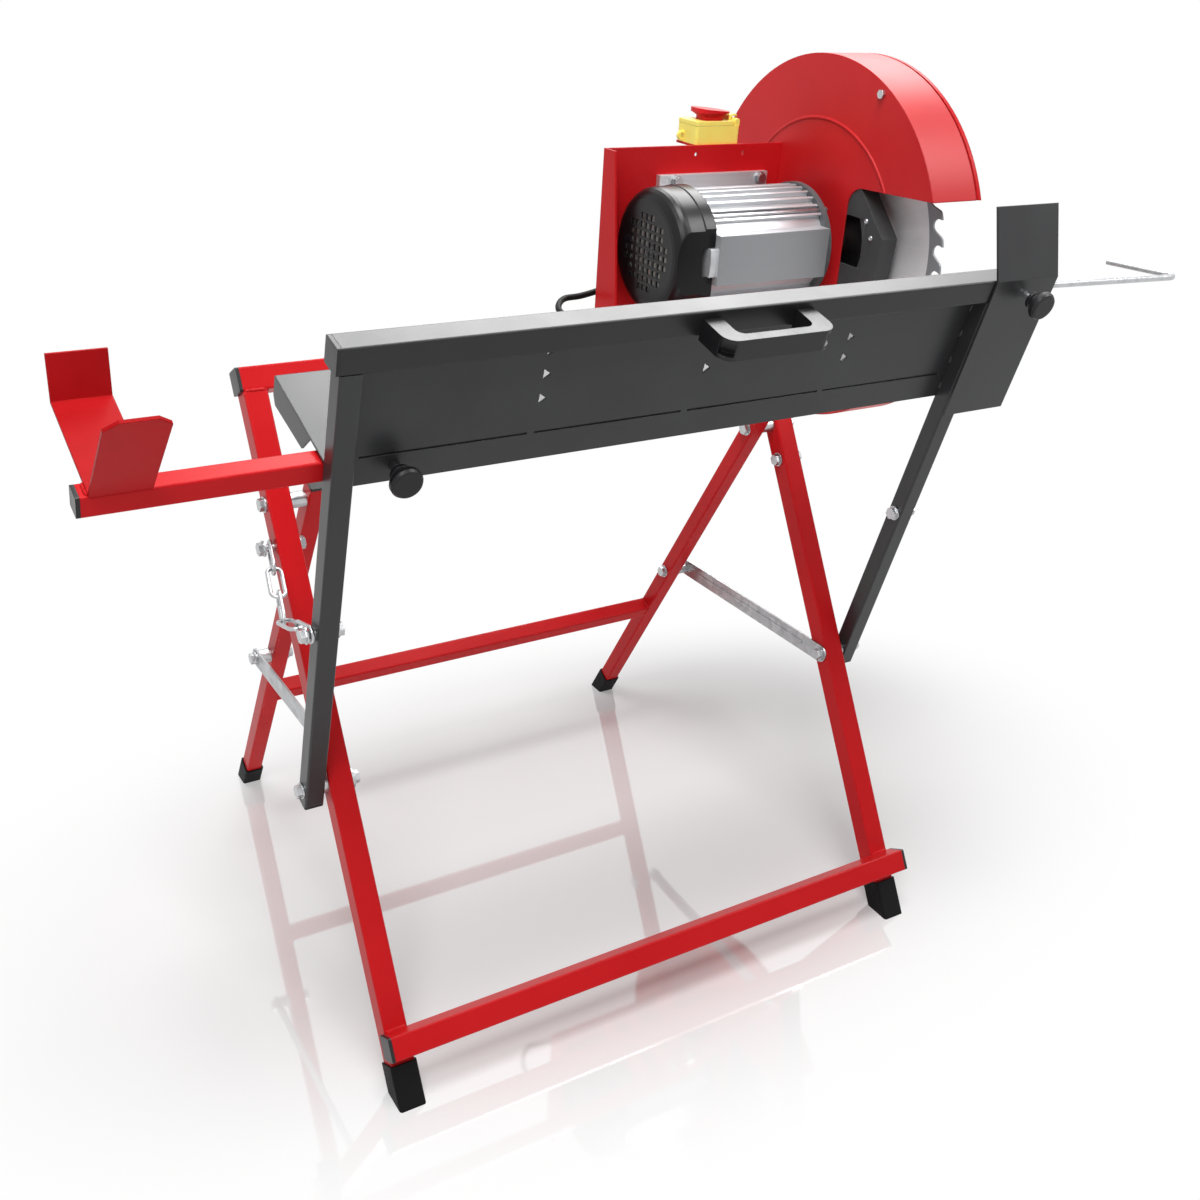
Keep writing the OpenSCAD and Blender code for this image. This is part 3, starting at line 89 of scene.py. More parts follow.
def makeCamera(view):
    turn, dip, roll = (math.radians(view[key]) for key in ("turn", "dip", "roll"))
    ahead = Vector((math.sin(turn) * math.cos(dip), math.cos(turn) * math.cos(dip), -math.sin(dip)))
    level = Vector((math.cos(turn), -math.sin(turn), 0))
    rise = level.cross(ahead)
    right = level * math.cos(roll) + rise * math.sin(roll)
    up = rise * math.cos(roll) - level * math.sin(roll)
    data = bpy.data.cameras.new("camera")
    data.sensor_fit = "HORIZONTAL"
    data.sensor_width = view["sensor"]
    data.lens = view["lens"]
    data.clip_start, data.clip_end = (distance * mm for distance in view["clip"])
    camera = bpy.data.objects.new("camera", data)
    scene.collection.objects.link(camera)
    facing = Matrix((right, up, -ahead)).transposed().to_4x4()
    camera.matrix_world = Matrix.Translation(toShared @ Vector(view["place"])) @ facing
    scene.camera = camera


makeCamera(cameraView)
print("camera placed")

# the motor's lead hangs from the switch box and comes round the carrier plate to the terminal box
leadRoute = {
    "thick": 8,
    "top": (338.5, 553.968, 814.947),
    "fromTop": [(0, 0, 0), (0, 0, -12), (0, 0, -26), (-4, -4, -48), (-14, -8, -74), (-32, -10, -100),
                (-56, -10, -124), (-84, -8, -143), (-114, -4, -156), (-144, 0, -165), (-172, 0, -170)],
    "end": (229, 442.718, 638.147),
    "fromEnd": [(-85, 112, 5), (-104, 94, 3), (-115, 70, 1), (-114, 44, 0), (-102, 22, 0), (-82, 7, 0),
                (-58, 1, 0), (-36, 0, 0), (-18, 0, 0), (0, 0, 0)],
    "steps": 6,  # between two points of the route
    "roundness": 5,
}


def smoothWay(points, steps):  # a smooth curve that passes through every point
    way = []
    for i in range(len(points) - 1):
        a, b, c, d = points[max(i - 1, 0)], points[i], points[i + 1], points[min(i + 2, len(points) - 1)]
        for k in range(steps):
            t = k / steps
            way.append((b * 2 + (c - a) * t + (a * 2 - b * 5 + c * 4 - d) * t ** 2
                        + (b * 3 - a - c * 3 + d) * t ** 3) / 2)
    return way + [points[-1]]


def makeLead(route):
    stops = [Vector(route["top"]) + Vector(q) for q in route["fromTop"]]
    stops += [Vector(route["end"]) + Vector(q) for q in route["fromEnd"]]
    way = [toShared @ p for p in smoothWay(stops, route["steps"])]
    data = bpy.data.curves.new("motorLead", "CURVE")
    data.dimensions = "3D"
    data.bevel_depth = 1  # the points' radius sets the thickness
    data.bevel_resolution = route["roundness"]
    data.use_fill_caps = True
    spline = data.splines.new("POLY")
    spline.points.add(len(way) - 1)
    for point, spot in zip(spline.points, way):
        point.co = (*spot, 1)
        point.radius = route["thick"] * mm / 2
    lead = bpy.data.objects.new("motorLead", data)
    scene.collection.objects.link(lead)
    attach(lead, "stand")
    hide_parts("motor_lead")
    return lead


motorLead = makeLead(leadRoute)


def hexColour(text):  # sRGB to linear
    parts = [int(text[i:i + 2], 16) / 255 for i in (1, 3, 5)]
    return [c / 12.92 if c <= 0.04045 else ((c + 0.055) / 1.055) ** 2.4 for c in parts] + [1]


def emptyTree(owner):  # the node tree of a material or world, cleared
    owner.use_nodes = True
    owner.node_tree.nodes.clear()
    return owner.node_tree


def addNode(tree, kind, values=None, links=None, **settings):
    node = tree.nodes.new(kind)
    for key, value in settings.items():
        setattr(node, key, value)
    for key, value in (values or {}).items():
        node.inputs[key].default_value = value
    for key, source in (links or {}).items():
        tree.links.new(source, node.inputs[key])
    return node


def perMetre(sizeMm):  # noise scale whose blotches are about that many mm
    return 1000 / sizeMm


# how every finish is drawn; its own look gives the colours and sizes
pattern = {
    "cloudSpan": (0.2, 0.8),  # the noise values at which shade and colour are pure
    "cloudDetail": 3,
    "gritDetail": 2,
    "edgeSamples": 4,
}
smooth = {"interpolation_type": "SMOOTHSTEP"}


def makeFinish(name, look):
    material = bpy.data.materials.new(name)
    tree = emptyTree(material)
    spot = addNode(tree, "ShaderNodeTexCoord").outputs["Object"]
    place = addNode(tree, "ShaderNodeVectorMath", {1: look.get("stretch", (1, 1, 1))}, {0: spot},
                    operation="MULTIPLY").outputs["Vector"]
    cloud = addNode(tree, "ShaderNodeTexNoise", {
        "Scale": perMetre(look["cloudMm"]), "Detail": pattern["cloudDetail"]},
        {"Vector": place}).outputs["Fac"]
    low, high = pattern["cloudSpan"]
    share = addNode(tree, "ShaderNodeMapRange", {"From Min": low, "From Max": high}, {"Value": cloud},
                    **smooth)
    colour = addNode(tree, "ShaderNodeMix", {6: hexColour(look["shade"]), 7: hexColour(look["colour"])},
                     {0: share.outputs[0]}, data_type="RGBA")
    least, most = look["rough"]
    gloss = addNode(tree, "ShaderNodeMapRange", {
        "From Min": low, "From Max": high, "To Min": least, "To Max": most}, {"Value": cloud}, **smooth)
    edge = addNode(tree, "ShaderNodeBevel", {"Radius": look["edgeMm"] * mm}, samples=pattern["edgeSamples"])
    grit = addNode(tree, "ShaderNodeTexNoise", {
        "Scale": perMetre(look["gritMm"]), "Detail": pattern["gritDetail"]}, {"Vector": place})
    bump = addNode(tree, "ShaderNodeBump", {"Strength": look["bump"], "Distance": look["bumpMm"] * mm},
                   {"Height": grit.outputs["Fac"], "Normal": edge.outputs["Normal"]})
    shader = addNode(tree, "ShaderNodeBsdfPrincipled", {
        "Metallic": look["metal"], "Specular IOR Level": look.get("shine", 0.5)}, {
        "Base Color": colour.outputs[2], "Roughness": gloss.outputs[0], "Normal": bump.outputs["Normal"]},
        name="surface")
    addNode(tree, "ShaderNodeOutputMaterial", links={"Surface": shader.outputs["BSDF"]})
    return material


# other values come in as the field goes through the span, up to a share that is a number or a socket
def overlay(material, field, span, changes, most=1):
    tree = material.node_tree
    values = {"From Min": span[0], "From Max": span[1]}
    links = {"Value": field}
    if isinstance(most, bpy.types.NodeSocket):
        links["To Max"] = most
    else:
        values["To Max"] = most
    mask = addNode(tree, "ShaderNodeMapRange", values, links, **smooth).outputs[0]
    for key, value in changes.items():
        socket = tree.nodes["surface"].inputs[key]
        # the mix node has other sockets for colours than for numbers
        kind, before, after, result = ("RGBA", 6, 7, 2) if key == "Base Color" else ("FLOAT", 2, 3, 0)
        mix = addNode(tree, "ShaderNodeMix", {after: value}, {0: mask}, data_type=kind)
        if socket.is_linked:
            tree.links.new(socket.links[0].from_socket, mix.inputs[before])
        else:
            mix.inputs[before].default_value = socket.default_value
        tree.links.new(mix.outputs[result], socket)


def fromAxis(tree, middle, axis):  # distance from a line, place along it, and the way out from it
    spot = addNode(tree, "ShaderNodeTexCoord").outputs["Object"]
    offset = addNode(tree, "ShaderNodeVectorMath", {1: middle}, {0: spot}, operation="SUBTRACT").outputs[0]
    along = addNode(tree, "ShaderNodeVectorMath", {1: axis}, {0: offset},
                    operation="DOT_PRODUCT").outputs["Value"]
    foot = addNode(tree, "ShaderNodeVectorMath", {0: axis}, {"Scale": along}, operation="SCALE").outputs[0]
    out = addNode(tree, "ShaderNodeVectorMath", links={0: offset, 1: foot}, operation="SUBTRACT").outputs[0]
    reach = addNode(tree, "ShaderNodeVectorMath", links={0: out}, operation="LENGTH").outputs["Value"]
    return reach, along, out


# grit and grain are finer than a millimetre on the real saw and are drawn about that coarse, to show
finishes = {
    # polyester powder coat: full red, thin sheen and a slight orange peel, drawn coarser than its real 1 mm
    "red_paint": makeFinish("glossPowderCoatRed", {
        "colour": "#c91d21", "shade": "#c1181d", "cloudMm": 90, "rough": (0.27, 0.31), "edgeMm": 2.0,
        "gritMm": 6, "bump": 0.04, "bumpMm": 0.05, "metal": 0, "shine": 0.09}),
    # fine-textured powder coat: a dry grey-black whose upward faces turn pale at a low angle
    "black_paint": makeFinish("texturedPowderCoatBlack", {
        "colour": "#2f3031", "shade": "#29292b", "cloudMm": 60, "rough": (0.31, 0.37), "edgeMm": 1.6,
        "gritMm": 1.2, "bump": 0.25, "bumpMm": 0.1, "metal": 0, "shine": 0.36}),
    # moulded polyamide: a spark-eroded grain that keeps the shine soft
    "black_plastic": makeFinish("mouldedPolyamideBlack", {
        "colour": "#19191b", "shade": "#131315", "cloudMm": 20, "rough": (0.3, 0.37), "edgeMm": 1.0,
        "gritMm": 1.0, "bump": 0.25, "bumpMm": 0.06, "metal": 0, "shine": 0.34}),
    # moulded rubber: dull, with rounded edges
    "black_rubber": makeFinish("mouldedRubberBlack", {
        "colour": "#0c0c0d", "shade": "#09090a", "cloudMm": 15, "rough": (0.5, 0.62), "edgeMm": 1.5,
        "gritMm": 1.5, "bump": 0.25, "bumpMm": 0.1, "metal": 0, "shine": 0.12}),
    # bright zinc plate: pale steel, faintly clouded
    "zinc_steel": makeFinish("zincPlatedSteel", {
        "colour": "#c2c3c5", "shade": "#b0b2b4", "cloudMm": 8, "rough": (0.26, 0.36), "edgeMm": 0.6,
        "gritMm": 1.4, "bump": 0.06, "bumpMm": 0.04, "metal": 1}),
    # ground steel: a fine even shine
    "bright_steel": makeFinish("groundSteel", {
        "colour": "#b2b3b5", "shade": "#a8a9ab", "cloudMm": 30, "rough": (0.27, 0.34), "edgeMm": 0.3,
        "gritMm": 1.0, "bump": 0.02, "bumpMm": 0.04, "metal": 1}),
    # cast aluminium, its fins and flat rubbed along the motor: long soft streaks
    "cast_aluminium": makeFinish("brushedCastAluminium", {
        "colour": "#d3d5d7", "shade": "#c8cacd", "cloudMm": 3, "stretch": (0.04, 1, 1), "rough": (0.36, 0.42),
        "edgeMm": 0.8, "gritMm": 1.2, "bump": 0.04, "bumpMm": 0.04, "metal": 0.6}),
    # satin lacquer on pressed steel: nearly black with clear soft highlights
    "satin_black": makeFinish("satinLacquerBlack", {
        "colour": "#101012", "shade": "#0c0c0e", "cloudMm": 40, "rough": (0.27, 0.33), "edgeMm": 1.0,
        "gritMm": 1.6, "bump": 0.08, "bumpMm": 0.06, "metal": 0, "shine": 0.26}),
    # varnished copper wire: brown, half metallic
    "copper_varnish": makeFinish("varnishedCopper", {
        "colour": "#8a5a34", "shade": "#6d4425", "cloudMm": 6, "rough": (0.3, 0.45), "edgeMm": 0.5,
        "gritMm": 1.5, "bump": 0.3, "bumpMm": 0.2, "metal": 0.6}),
    # moulded ABS: smooth and half glossy, in three colours
    "yellow_plastic": makeFinish("mouldedAbsYellow", {
        "colour": "#fff07a", "shade": "#ffea6e", "cloudMm": 16, "rough": (0.32, 0.4), "edgeMm": 0.8,
        "gritMm": 1.0, "bump": 0.1, "bumpMm": 0.05, "metal": 0, "shine": 0.3}),
    "red_plastic": makeFinish("mouldedAbsRed", {
        "colour": "#d81f26", "shade": "#cd1a22", "cloudMm": 16, "rough": (0.28, 0.36), "edgeMm": 1.0,
        "gritMm": 1.0, "bump": 0.08, "bumpMm": 0.05, "metal": 0, "shine": 0.2}),
    "green_plastic": makeFinish("mouldedAbsGreen", {
        "colour": "#3f9a4a", "shade": "#378a41", "cloudMm": 16, "rough": (0.32, 0.4), "edgeMm": 0.6,
        "gritMm": 1.0, "bump": 0.08, "bumpMm": 0.05, "metal": 0}),
}
for part in frame["record"]["subparts"]:
    mesh = nodes[part["node"]].data
    mesh.materials.clear()
    mesh.materials.append(finishes[part["material_slot"]])
motorLead.data.materials.append(finishes["black_rubber"])

# a few pieces differ from the rest of their slot
ownFinishes = {
    # the arbor's cover is moulded black; its colour is painted lighter, as painted light where the guard
    # shades it
    "arbor_cover": makeFinish("paintedLightPolyamideBlack", {
        "colour": "#454647", "shade": "#3d3e3f", "cloudMm": 30, "rough": (0.4, 0.48), "edgeMm": 1.0,
        "gritMm": 1.0, "bump": 0.2, "bumpMm": 0.06, "metal": 0, "shine": 0.34}),
    # the guard's pressed sheet is coated to shine more than the tubes: a broad pale sheen runs round its rim
    "guard_shell": makeFinish("sheenPowderCoatRed", {
        "colour": "#c91d21", "shade": "#c1181d", "cloudMm": 90, "rough": (0.4, 0.44), "edgeMm": 2.0,
        "gritMm": 6, "bump": 0.04, "bumpMm": 0.05, "metal": 0, "shine": 0.3}),
    # the log support: the same red painted deeper as painted shade, with a duller shine
    "log_support": makeFinish("shadedPowderCoatRed", {
        "colour": "#b4181c", "shade": "#aa1418", "cloudMm": 40, "rough": (0.4, 0.46), "edgeMm": 1.2,
        "gritMm": 6, "bump": 0.04, "bumpMm": 0.05, "metal": 0, "shine": 0.05}),
    # the hand rail: the same black painted darker as painted shade on its front, and its top still shines
    "top_rail": makeFinish("shadedPowderCoatBlack", {
        "colour": "#1d1d1e", "shade": "#18181a", "cloudMm": 60, "rough": (0.31, 0.37), "edgeMm": 1.6,
        "gritMm": 1.2, "bump": 0.2, "bumpMm": 0.1, "metal": 0, "shine": 0.36}),
    # the fan is undyed polyamide, a pale disc behind the grille, and also painted light showing through the
    # holes
    "cooling_fan": makeFinish("undyedPolyamideLitThrough", {
        "colour": "#f1efe8", "shade": "#e8e5dc", "cloudMm": 20, "rough": (0.4, 0.48), "edgeMm": 0.6,
        "gritMm": 1.0, "bump": 0.1, "bumpMm": 0.05, "metal": 0, "shine": 0.3}),
    # the motor's drive end is drawn a dull dark grey, darkened as painted shade on its curved face
    "drive_end_shield": makeFinish("darkGreyCastAluminium", {
        "colour": "#5c5e60", "shade": "#535557", "cloudMm": 9, "rough": (0.5, 0.6), "edgeMm": 0.8,
        "gritMm": 1.2, "bump": 0.2, "bumpMm": 0.1, "metal": 0.2}),
}
for node, finish in ownFinishes.items():
    nodes[node].data.materials[0] = finish
print("finishes made:", len(finishes) + len(ownFinishes))

# the blade is ground in rings round its bore; pale rays out from the bore are painted sheen, and its band of
# teeth is darker
bladeLook = {
    "steel": {"colour": "#eceef0", "shade": "#e4e6e8", "cloudMm": 40, "rough": (0.38, 0.44), "edgeMm": 0.3,
              "gritMm": 1.0, "bump": 0.04, "bumpMm": 0.03, "metal": 0.3},
    "axis": (1, 0, 0),
    # the rays' pale colour is a painted sheen, the light a ground face throws back along its grinding
    "ray": "#f6f7f8",
    "raySize": 0.16,  # as a share of the radius, so that a ray widens outward
    "rayDetail": 4,
    "raySpan": (0.45, 0.75),
    "rayMost": 0.7,
    "ringMm": 2.2,
    "ringDetail": 2,
    "ringSpan": (0.4, 0.7),
    "ringMost": 0.5,
    "ringRough": 0.42,
    "teeth": "#8d9094",
    "teethRough": 0.45,
    "teethFrom": (178, 178.8),  # mm from the bore's middle
}


def makeBlade(look):
    material = makeFinish("ringGroundBladeSteel", look["steel"])
    tree = material.node_tree
    reach, _, out = fromAxis(tree, toShared @ arborMid, look["axis"])
    spoke = addNode(tree, "ShaderNodeVectorMath", links={0: out}, operation="NORMALIZE").outputs[0]
    # pale rays out from the bore, painted into the colour as sheen
    rays = addNode(tree, "ShaderNodeTexNoise", {
        "Scale": 1 / look["raySize"], "Detail": look["rayDetail"]}, {"Vector": spoke}).outputs["Fac"]
    overlay(material, rays, look["raySpan"], {"Base Color": hexColour(look["ray"])}, look["rayMost"])
    inLine = addNode(tree, "ShaderNodeCombineXYZ", links={0: reach}).outputs[0]
    rings = addNode(tree, "ShaderNodeTexNoise", {
        "Scale": perMetre(look["ringMm"]), "Detail": look["ringDetail"]}, {"Vector": inLine}).outputs["Fac"]
    overlay(material, rings, look["ringSpan"], {"Roughness": look["ringRough"]}, look["ringMost"])
    overlay(material, reach, [r * mm for r in look["teethFrom"]], {
        "Base Color": hexColour(look["teeth"]), "Roughness": look["teethRough"]})
    nodes["saw_blade"].data.materials[0] = material


makeBlade(bladeLook)

# the motor's flat panel stands in front of its fins and is painted darker, as a painted reflection of darker
# surroundings
panelLook = {"colour": "#989a9d", "depth": (0.6, 0.3)}  # mm behind the panel's face


def makePanel(look):
    material = finishes["cast_aluminium"].copy()
    material.name = "darkReflectionCastAluminium"
    tree = material.node_tree
    spot = addNode(tree, "ShaderNodeTexCoord").outputs["Object"]
    depth = addNode(tree, "ShaderNodeSeparateXYZ", links={0: spot}).outputs["Y"]
    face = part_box("motor_housing")[0][1]
    # the panel's face gets the darker colour, a painted reflection
    overlay(material, depth, [face + d * mm for d in look["depth"]], {
        "Base Color": hexColour(look["colour"])})
    nodes["motor_housing"].data.materials[0] = material


makePanel(panelLook)

# hot-dip galvanised straps: a patchwork of zinc flowers
strapLook = {
    "zinc": {"colour": "#b0b1b3", "shade": "#a9abad", "cloudMm": 25, "rough": (0.32, 0.4), "edgeMm": 0.6,
             "gritMm": 1.4, "bump": 0.08, "bumpMm": 0.04, "metal": 1},
    "flowerMm": 9,
    "light": "#bebfc1",
    "lightSpan": (0.5, 1),
    "dark": "#9d9fa1",
    "darkSpan": (0.4, 0),
    "darkRough": 0.46,
    "most": 0.6,
}


def makeStraps(look):
    material = makeFinish("galvanisedStrap", look["zinc"])
    tree = material.node_tree
    spot = addNode(tree, "ShaderNodeTexCoord").outputs["Object"]
    flowers = addNode(tree, "ShaderNodeTexVoronoi", {"Scale": perMetre(look["flowerMm"])}, {"Vector": spot})
    tone = addNode(tree, "ShaderNodeSeparateColor", links={0: flowers.outputs["Color"]}).outputs[0]
    overlay(material, tone, look["lightSpan"], {"Base Color": hexColour(look["light"])}, look["most"])
    overlay(material, tone, look["darkSpan"], {
        "Base Color": hexColour(look["dark"]), "Roughness": look["darkRough"]}, look["most"])
    for side in ("left", "right"):
        nodes["stay_" + side].data.materials[0] = material


makeStraps(strapLook)

# each clamp knob is black polyamide on a zinc-plated screw, told apart by the distance from its axis
knobLook = {
    "hubRear": {  # the middle of the hub's rear face, in the cradle's frame
        "extension_knob": (-296, -2.5, 382.7),
        "stop_knob": (388, -21.5, 496.77),
    },
    "plastic": {"colour": "#1b1b1d", "shade": "#161618", "cloudMm": 12, "rough": (0.36, 0.44), "edgeMm": 1.0,
                "gritMm": 1.0, "bump": 0.2, "bumpMm": 0.06, "metal": 0, "shine": 0.28},
    "screw": {"Base Color": hexColour("#d9dbdd"), "Metallic": 1, "Roughness": 0.3},
    "screwRadius": (3.6, 3.4),
    "screwFrom": (-0.3, 0.1),  # mm behind the hub
}


def makeKnobs(look):
    rearward = (cradleFrame.to_3x3() @ Vector((0, 1, 0))).normalized()
    low, high = (d * mm for d in look["screwFrom"])
    for node, hubRear in look["hubRear"].items():
        material = makeFinish("knobPolyamideOnZincScrew", look["plastic"])
        tree = material.node_tree
        reach, along, _ = fromAxis(tree, toShared @ cradleFrame @ Vector(hubRear), rearward)
        behind = addNode(tree, "ShaderNodeMapRange", {"From Min": low, "From Max": high}, {"Value": along},
                         **smooth)
        overlay(material, reach, [r * mm for r in look["screwRadius"]], look["screw"], behind.outputs[0])
        nodes[node].data.materials[0] = material


makeKnobs(knobLook)
print("blade, motor panel, straps and knobs finished")


def makePiece(name, shape, body, slot):
    bmesh.ops.recalc_face_normals(shape, faces=shape.faces)
    data = bpy.data.meshes.new(name)
    shape.to_mesh(data)
    shape.free()
    data.shade_smooth()
    piece = bpy.data.objects.new(name, data)
    scene.collection.objects.link(piece)
    data.materials.append(finishes[slot])
    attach(piece, body)


def addRing(shape, middle, side, up, radius, count):
    turns = [k * math.tau / count for k in range(count)]
    return [shape.verts.new(middle + (side * math.cos(a) + up * math.sin(a)) * radius) for a in turns]


def joinRings(shape, rings):
    for a, b in zip(rings, rings[1:]):
        for k in range(len(a)):
            shape.faces.new((a[k], a[k - 1], b[k - 1], b[k]))
    shape.faces.new(rings[0])
    shape.faces.new(rings[-1][::-1])


# painted weld beads, laid in overlapping drops along the tubes' joints
beadLook = {
    "thick": 3.6,
    "drop": 2.6,
    "leastDrops": 3,
    "ringsPerDrop": 5,
    "swell": (0.88, 1.14),
    "valley": 0.8,  # thickness between two drops, as a share
    "blunt": 0.4,  # rings from an end to where it would come to a point
    "sides": 10,
    "seed": 5,
}
bothSides = (-1, 1)
asDrawn = (1,)
# each line has a frame, then x, y and z; the bead runs along the one with two values
standWelds = {
    "body": "stand",
    "slot": "red_paint",
    "runs": [
        (bothSides, [
            (legFrame, (311, 334), -12.9, 73.4),  # foot bar on the leg: above, below, inside
            (legFrame, (311, 334), -12.9, 47.6),
            (legFrame, 309.6, -12.1, (50, 71)),
            (legFrame, (311, 334), -11.8, 733.5),  # leg under the top bar: front, rear, inside
            (legFrame, (311, 334), 11.8, 733.5),
            (legFrame, 309.6, (-11, 11), 733),
            (rearFrame, 272.6, (-9, 9), 233.9),  # rear bar between the legs: above, below, front, rear
            (rearFrame, 272.6, (-9, 9), 213.1),
            (rearFrame, 273, -9.3, (214.5, 232.5)),
            (rearFrame, 273, 9.3, (214.5, 232.5))]),
        (asDrawn, [
            (upright, (266.5, 288.5), 521.3, 643.8),  # each arm on the plate and on the top bar
            (upright, (266.5, 288.5), 401.8, 643.9),
            (upright, (311.5, 333.5), 521.3, 643.8),
            (upright, (311.5, 333.5), 401.8, 643.9)])],
}
cradleWelds = {
    "body": "cradle",
    "slot": "black_paint",
    "runs": [
        (bothSides, [(cradleFrame, 339.6, (-8, 7), 488.6)]),  # hand rail on the post
        (bothSides, [
            (cradleFrame, 339.6, 7.6, (376, 385)),  # short tacks of the panel along the post
            (cradleFrame, 339.6, 7.6, (408, 417)),
            (cradleFrame, 339.6, 7.6, (440, 449)),
            (cradleFrame, 339.6, 7.6, (470, 479))])],
}
supportWelds = {
    "body": "extension",
    "slot": "red_paint",
    "runs": [(asDrawn, [(cradleFrame, x, (14, 31), 393.1) for x in (-547.4, -497.6)])],
}


def beadEnds(runs):
    for mirrors, lines in runs:
        for mirror in mirrors:
            for basis, *spans in lines:
                x, y, z = (span if isinstance(span, tuple) else (span, span) for span in spans)
                start, end = (Vector((mirror * x[k], y[k], z[k])) for k in (0, 1))
                yield toShared @ basis @ start, toShared @ basis @ end


def makeBeads(name, look, welds):
    chance = random.Random(look["seed"])
    shape = bmesh.new()
    for start, end in beadEnds(welds["runs"]):
        ahead = (end - start).normalized()
        side = ahead.orthogonal().normalized()
        up = ahead.cross(side)
        drops = max(look["leastDrops"], round((end - start).length / (look["drop"] * mm)))
        swell = [chance.uniform(*look["swell"]) for _ in range(drops + 1)]
        steps = drops * look["ringsPerDrop"]
        rings = []
        for i in range(steps + 1):
            t = i / steps
            taper = math.sqrt(min(1, (min(i, steps - i) + look["blunt"]) / look["ringsPerDrop"]))
            crest = math.sqrt(abs(math.sin(math.pi * drops * t)))
            ridge = look["valley"] + (1 - look["valley"]) * crest
            radius = look["thick"] / 2 * mm * taper * ridge * swell[int(t * drops)]
            rings.append(addRing(shape, start.lerp(end, t), side, up, radius, look["sides"]))
        joinRings(shape, rings)
    makePiece(name, shape, welds["body"], welds["slot"])


makeBeads("standWelds", beadLook, standWelds)
makeBeads("cradleWelds", beadLook, cradleWelds)
makeBeads("supportWelds", beadLook, supportWelds)
print("weld beads laid on the stand, the cradle and the log support")

# small socket screws in the cover over the arbor, where the guard leaves it in view
screwLook = {
    "seat": 442,  # mm along the blade's axis
    "spots": [(-111, 25.7), (-99, 43.6), (-84, -62)],
    "outline": [(1.3, 0.7), (1.5, 1.7), (2.3, 1.9), (3.0, 1.3), (3.3, 0.3), (3.3, -0.6)],  # radius and height
    "sides": 18,
}


def makeScrews(look):
    shape = bmesh.new()
    rearward = Vector((0, 1, 0))
    upward = Vector((0, 0, 1))
    for y, z in look["spots"]:
        rings = []
        for radius, height in look["outline"]:
            middle = toShared @ (arborMid + Vector((look["seat"] - height, y, z)))
            rings.append(addRing(shape, middle, rearward, upward, radius * mm, look["sides"]))
        joinRings(shape, rings)
    makePiece("arborScrews", shape, "stand", "zinc_steel")


makeScrews(screwLook)
print("arbor screws set:", len(screwLook["spots"]))

# a white world for the camera and for mirrors, and a little fill for the rest
worldLook = {"white": "#ffffff", "seen": 1, "fill": 0.2}


def makeWorld(look):
    scene.world = bpy.data.worlds.new("studio")
    tree = emptyTree(scene.world)
    rays = addNode(tree, "ShaderNodeLightPath").outputs
    seen = rays["Is Camera Ray"]
    for kind in ("Is Glossy Ray", "Is Transmission Ray"):
        seen = addNode(tree, "ShaderNodeMath", links={0: seen, 1: rays[kind]}, operation="MAXIMUM").outputs[0]
    fill, white = (addNode(tree, "ShaderNodeBackground", {
        "Color": hexColour(look["white"]), "Strength": look[key]}).outputs[0] for key in ("fill", "seen"))
    mixed = addNode(tree, "ShaderNodeMixShader", links={0: seen, 1: fill, 2: white})
    addNode(tree, "ShaderNodeOutputWorld", links={"Surface": mixed.outputs[0]})


makeWorld(worldLook)

# polished pale floor: it mirrors the feet faintly and runs out to white in an oval
floorLook = {
    "halfWidth": 4500,
    "middle": (0, -30, 0),
    "squeeze": (0.65, 1.15, 1),
    "fade": (280, 620),  # mm from the middle, after the squeeze
    "colour": "#f4f4f4",
    "around": "#ffffff",
    "rough": 0.04,
    "ior": 2.6,
}


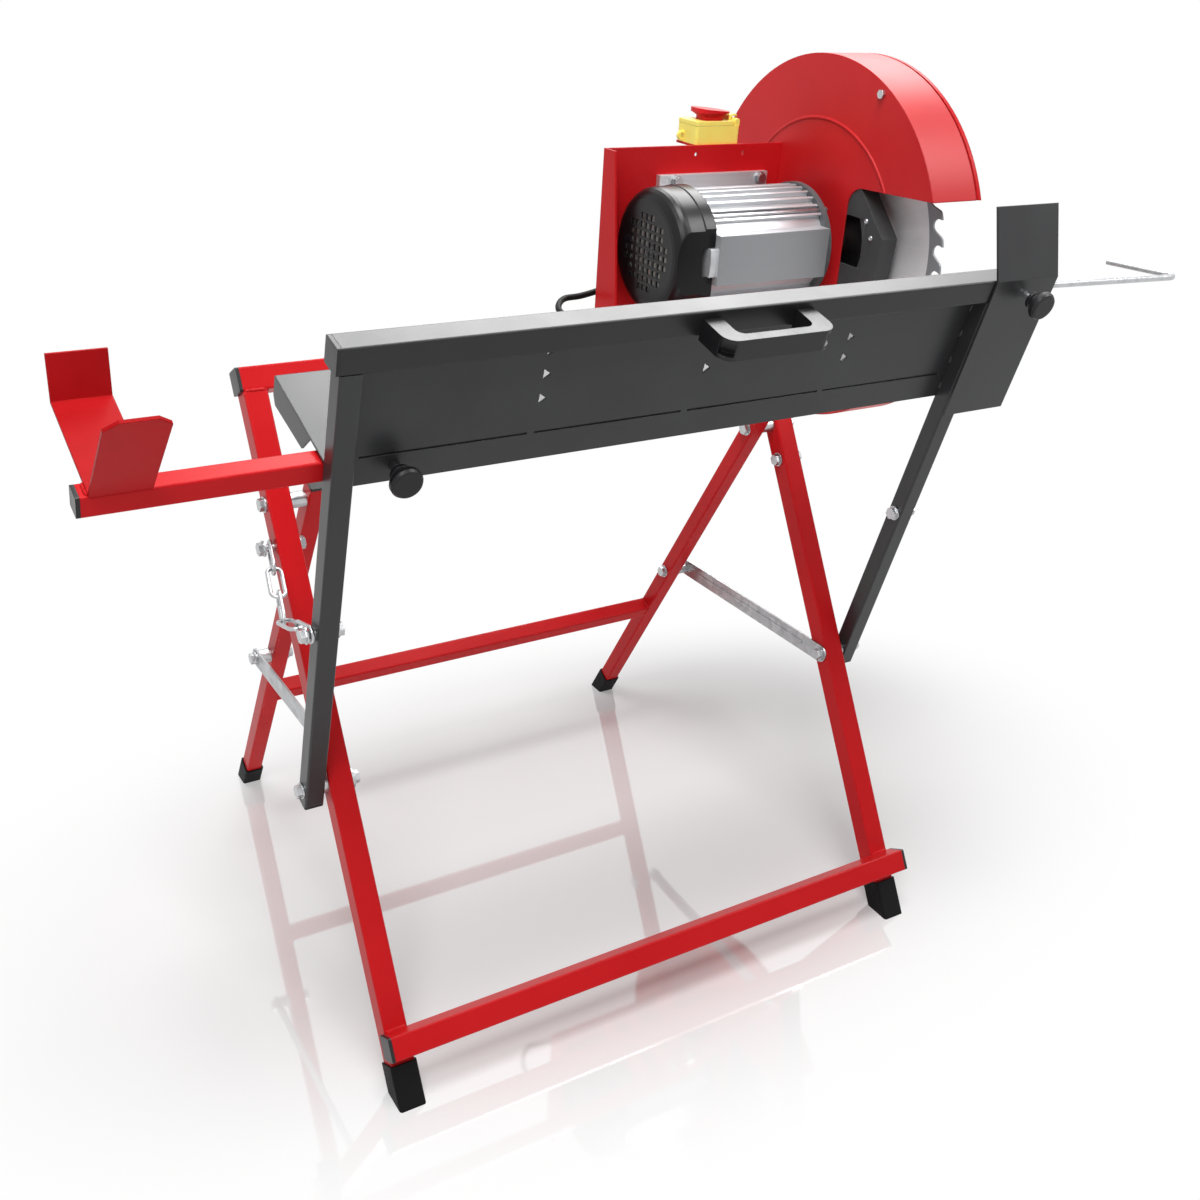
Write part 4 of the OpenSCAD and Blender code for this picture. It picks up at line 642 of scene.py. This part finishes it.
def makeFloor(look):
    mesh = bpy.data.meshes.new("floor")
    half = look["halfWidth"] * mm
    corners = [(-half, -half, 0), (half, -half, 0), (half, half, 0), (-half, half, 0)]
    mesh.from_pydata(corners, [], [(0, 1, 2, 3)])
    floor = bpy.data.objects.new("floor", mesh)
    scene.collection.objects.link(floor)
    material = bpy.data.materials.new("polishedStudioFloor")
    tree = emptyTree(material)
    spot = addNode(tree, "ShaderNodeTexCoord").outputs["Object"]
    middle = Vector(look["middle"]) * mm
    offset = addNode(tree, "ShaderNodeVectorMath", {1: middle}, {0: spot}, operation="SUBTRACT").outputs[0]
    oval = addNode(tree, "ShaderNodeVectorMath", {1: look["squeeze"]}, {0: offset}, operation="MULTIPLY")
    reach = addNode(tree, "ShaderNodeVectorMath", links={0: oval.outputs[0]}, operation="LENGTH")
    near, far = (d * mm for d in look["fade"])
    fade = addNode(tree, "ShaderNodeMapRange", {"From Min": near, "From Max": far},
                   {"Value": reach.outputs["Value"]}, **smooth)
    paint = addNode(tree, "ShaderNodeBsdfPrincipled", {
        "Base Color": hexColour(look["colour"]), "Roughness": look["rough"], "IOR": look["ior"]})
    white = addNode(tree, "ShaderNodeEmission", {"Color": hexColour(look["around"])})
    mixed = addNode(tree, "ShaderNodeMixShader", links={
        0: fade.outputs[0], 1: paint.outputs[0], 2: white.outputs[0]})
    addNode(tree, "ShaderNodeOutputMaterial", links={"Surface": mixed.outputs[0]})
    mesh.materials.append(material)
    return floor


studioFloor = makeFloor(floorLook)

# soft lamps; a card is a reflector that shows in the paint's shine only
lamps = {
    "keyLamp": {"place": (-1600, -2000, 3400), "aim": (0, 0, 500), "width": 1600, "watts": 60},
    "topLamp": {"place": (-350, -450, 3400), "aim": (0, 0, 400), "width": 1300, "watts": 68},
    "backLamp": {"place": (2000, 2000, 3100), "aim": (0, 0, 750), "width": 3200, "watts": 50,
                 "offFloor": True},
    "rearCard": {"place": (1650, 1650, 3600), "aim": (0, 0, 750), "width": 2800, "watts": 150,
                 "offFloor": True, "card": True},
    "frontCard": {"place": (2200, -1600, 3200), "aim": (0, 0, 750), "width": 1600, "watts": 80,
                  "offFloor": True, "card": True},
}


def shutOut(lamp, piece):  # that piece takes no light from the lamp, and does not mirror it
    group = bpy.data.collections.new(lamp.name + "Without")
    group.objects.link(piece)
    lamp.light_linking.receiver_collection = group
    group.collection_objects[0].light_linking.link_state = "EXCLUDE"


def makeLamp(name, look):
    data = bpy.data.lights.new(name, "AREA")
    data.shape = "DISK"
    data.size = look["width"] * mm
    data.energy = look["watts"]
    lamp = bpy.data.objects.new(name, data)
    scene.collection.objects.link(lamp)
    place, aim = (Vector(look[key]) * mm for key in ("place", "aim"))
    lamp.location = place
    lamp.rotation_euler = (aim - place).to_track_quat("-Z", "Y").to_euler()
    if look.get("offFloor"):
        shutOut(lamp, studioFloor)
    if look.get("card"):
        lamp.visible_diffuse = False


for name, look in lamps.items():
    makeLamp(name, look)
print("world, floor and lamps set")
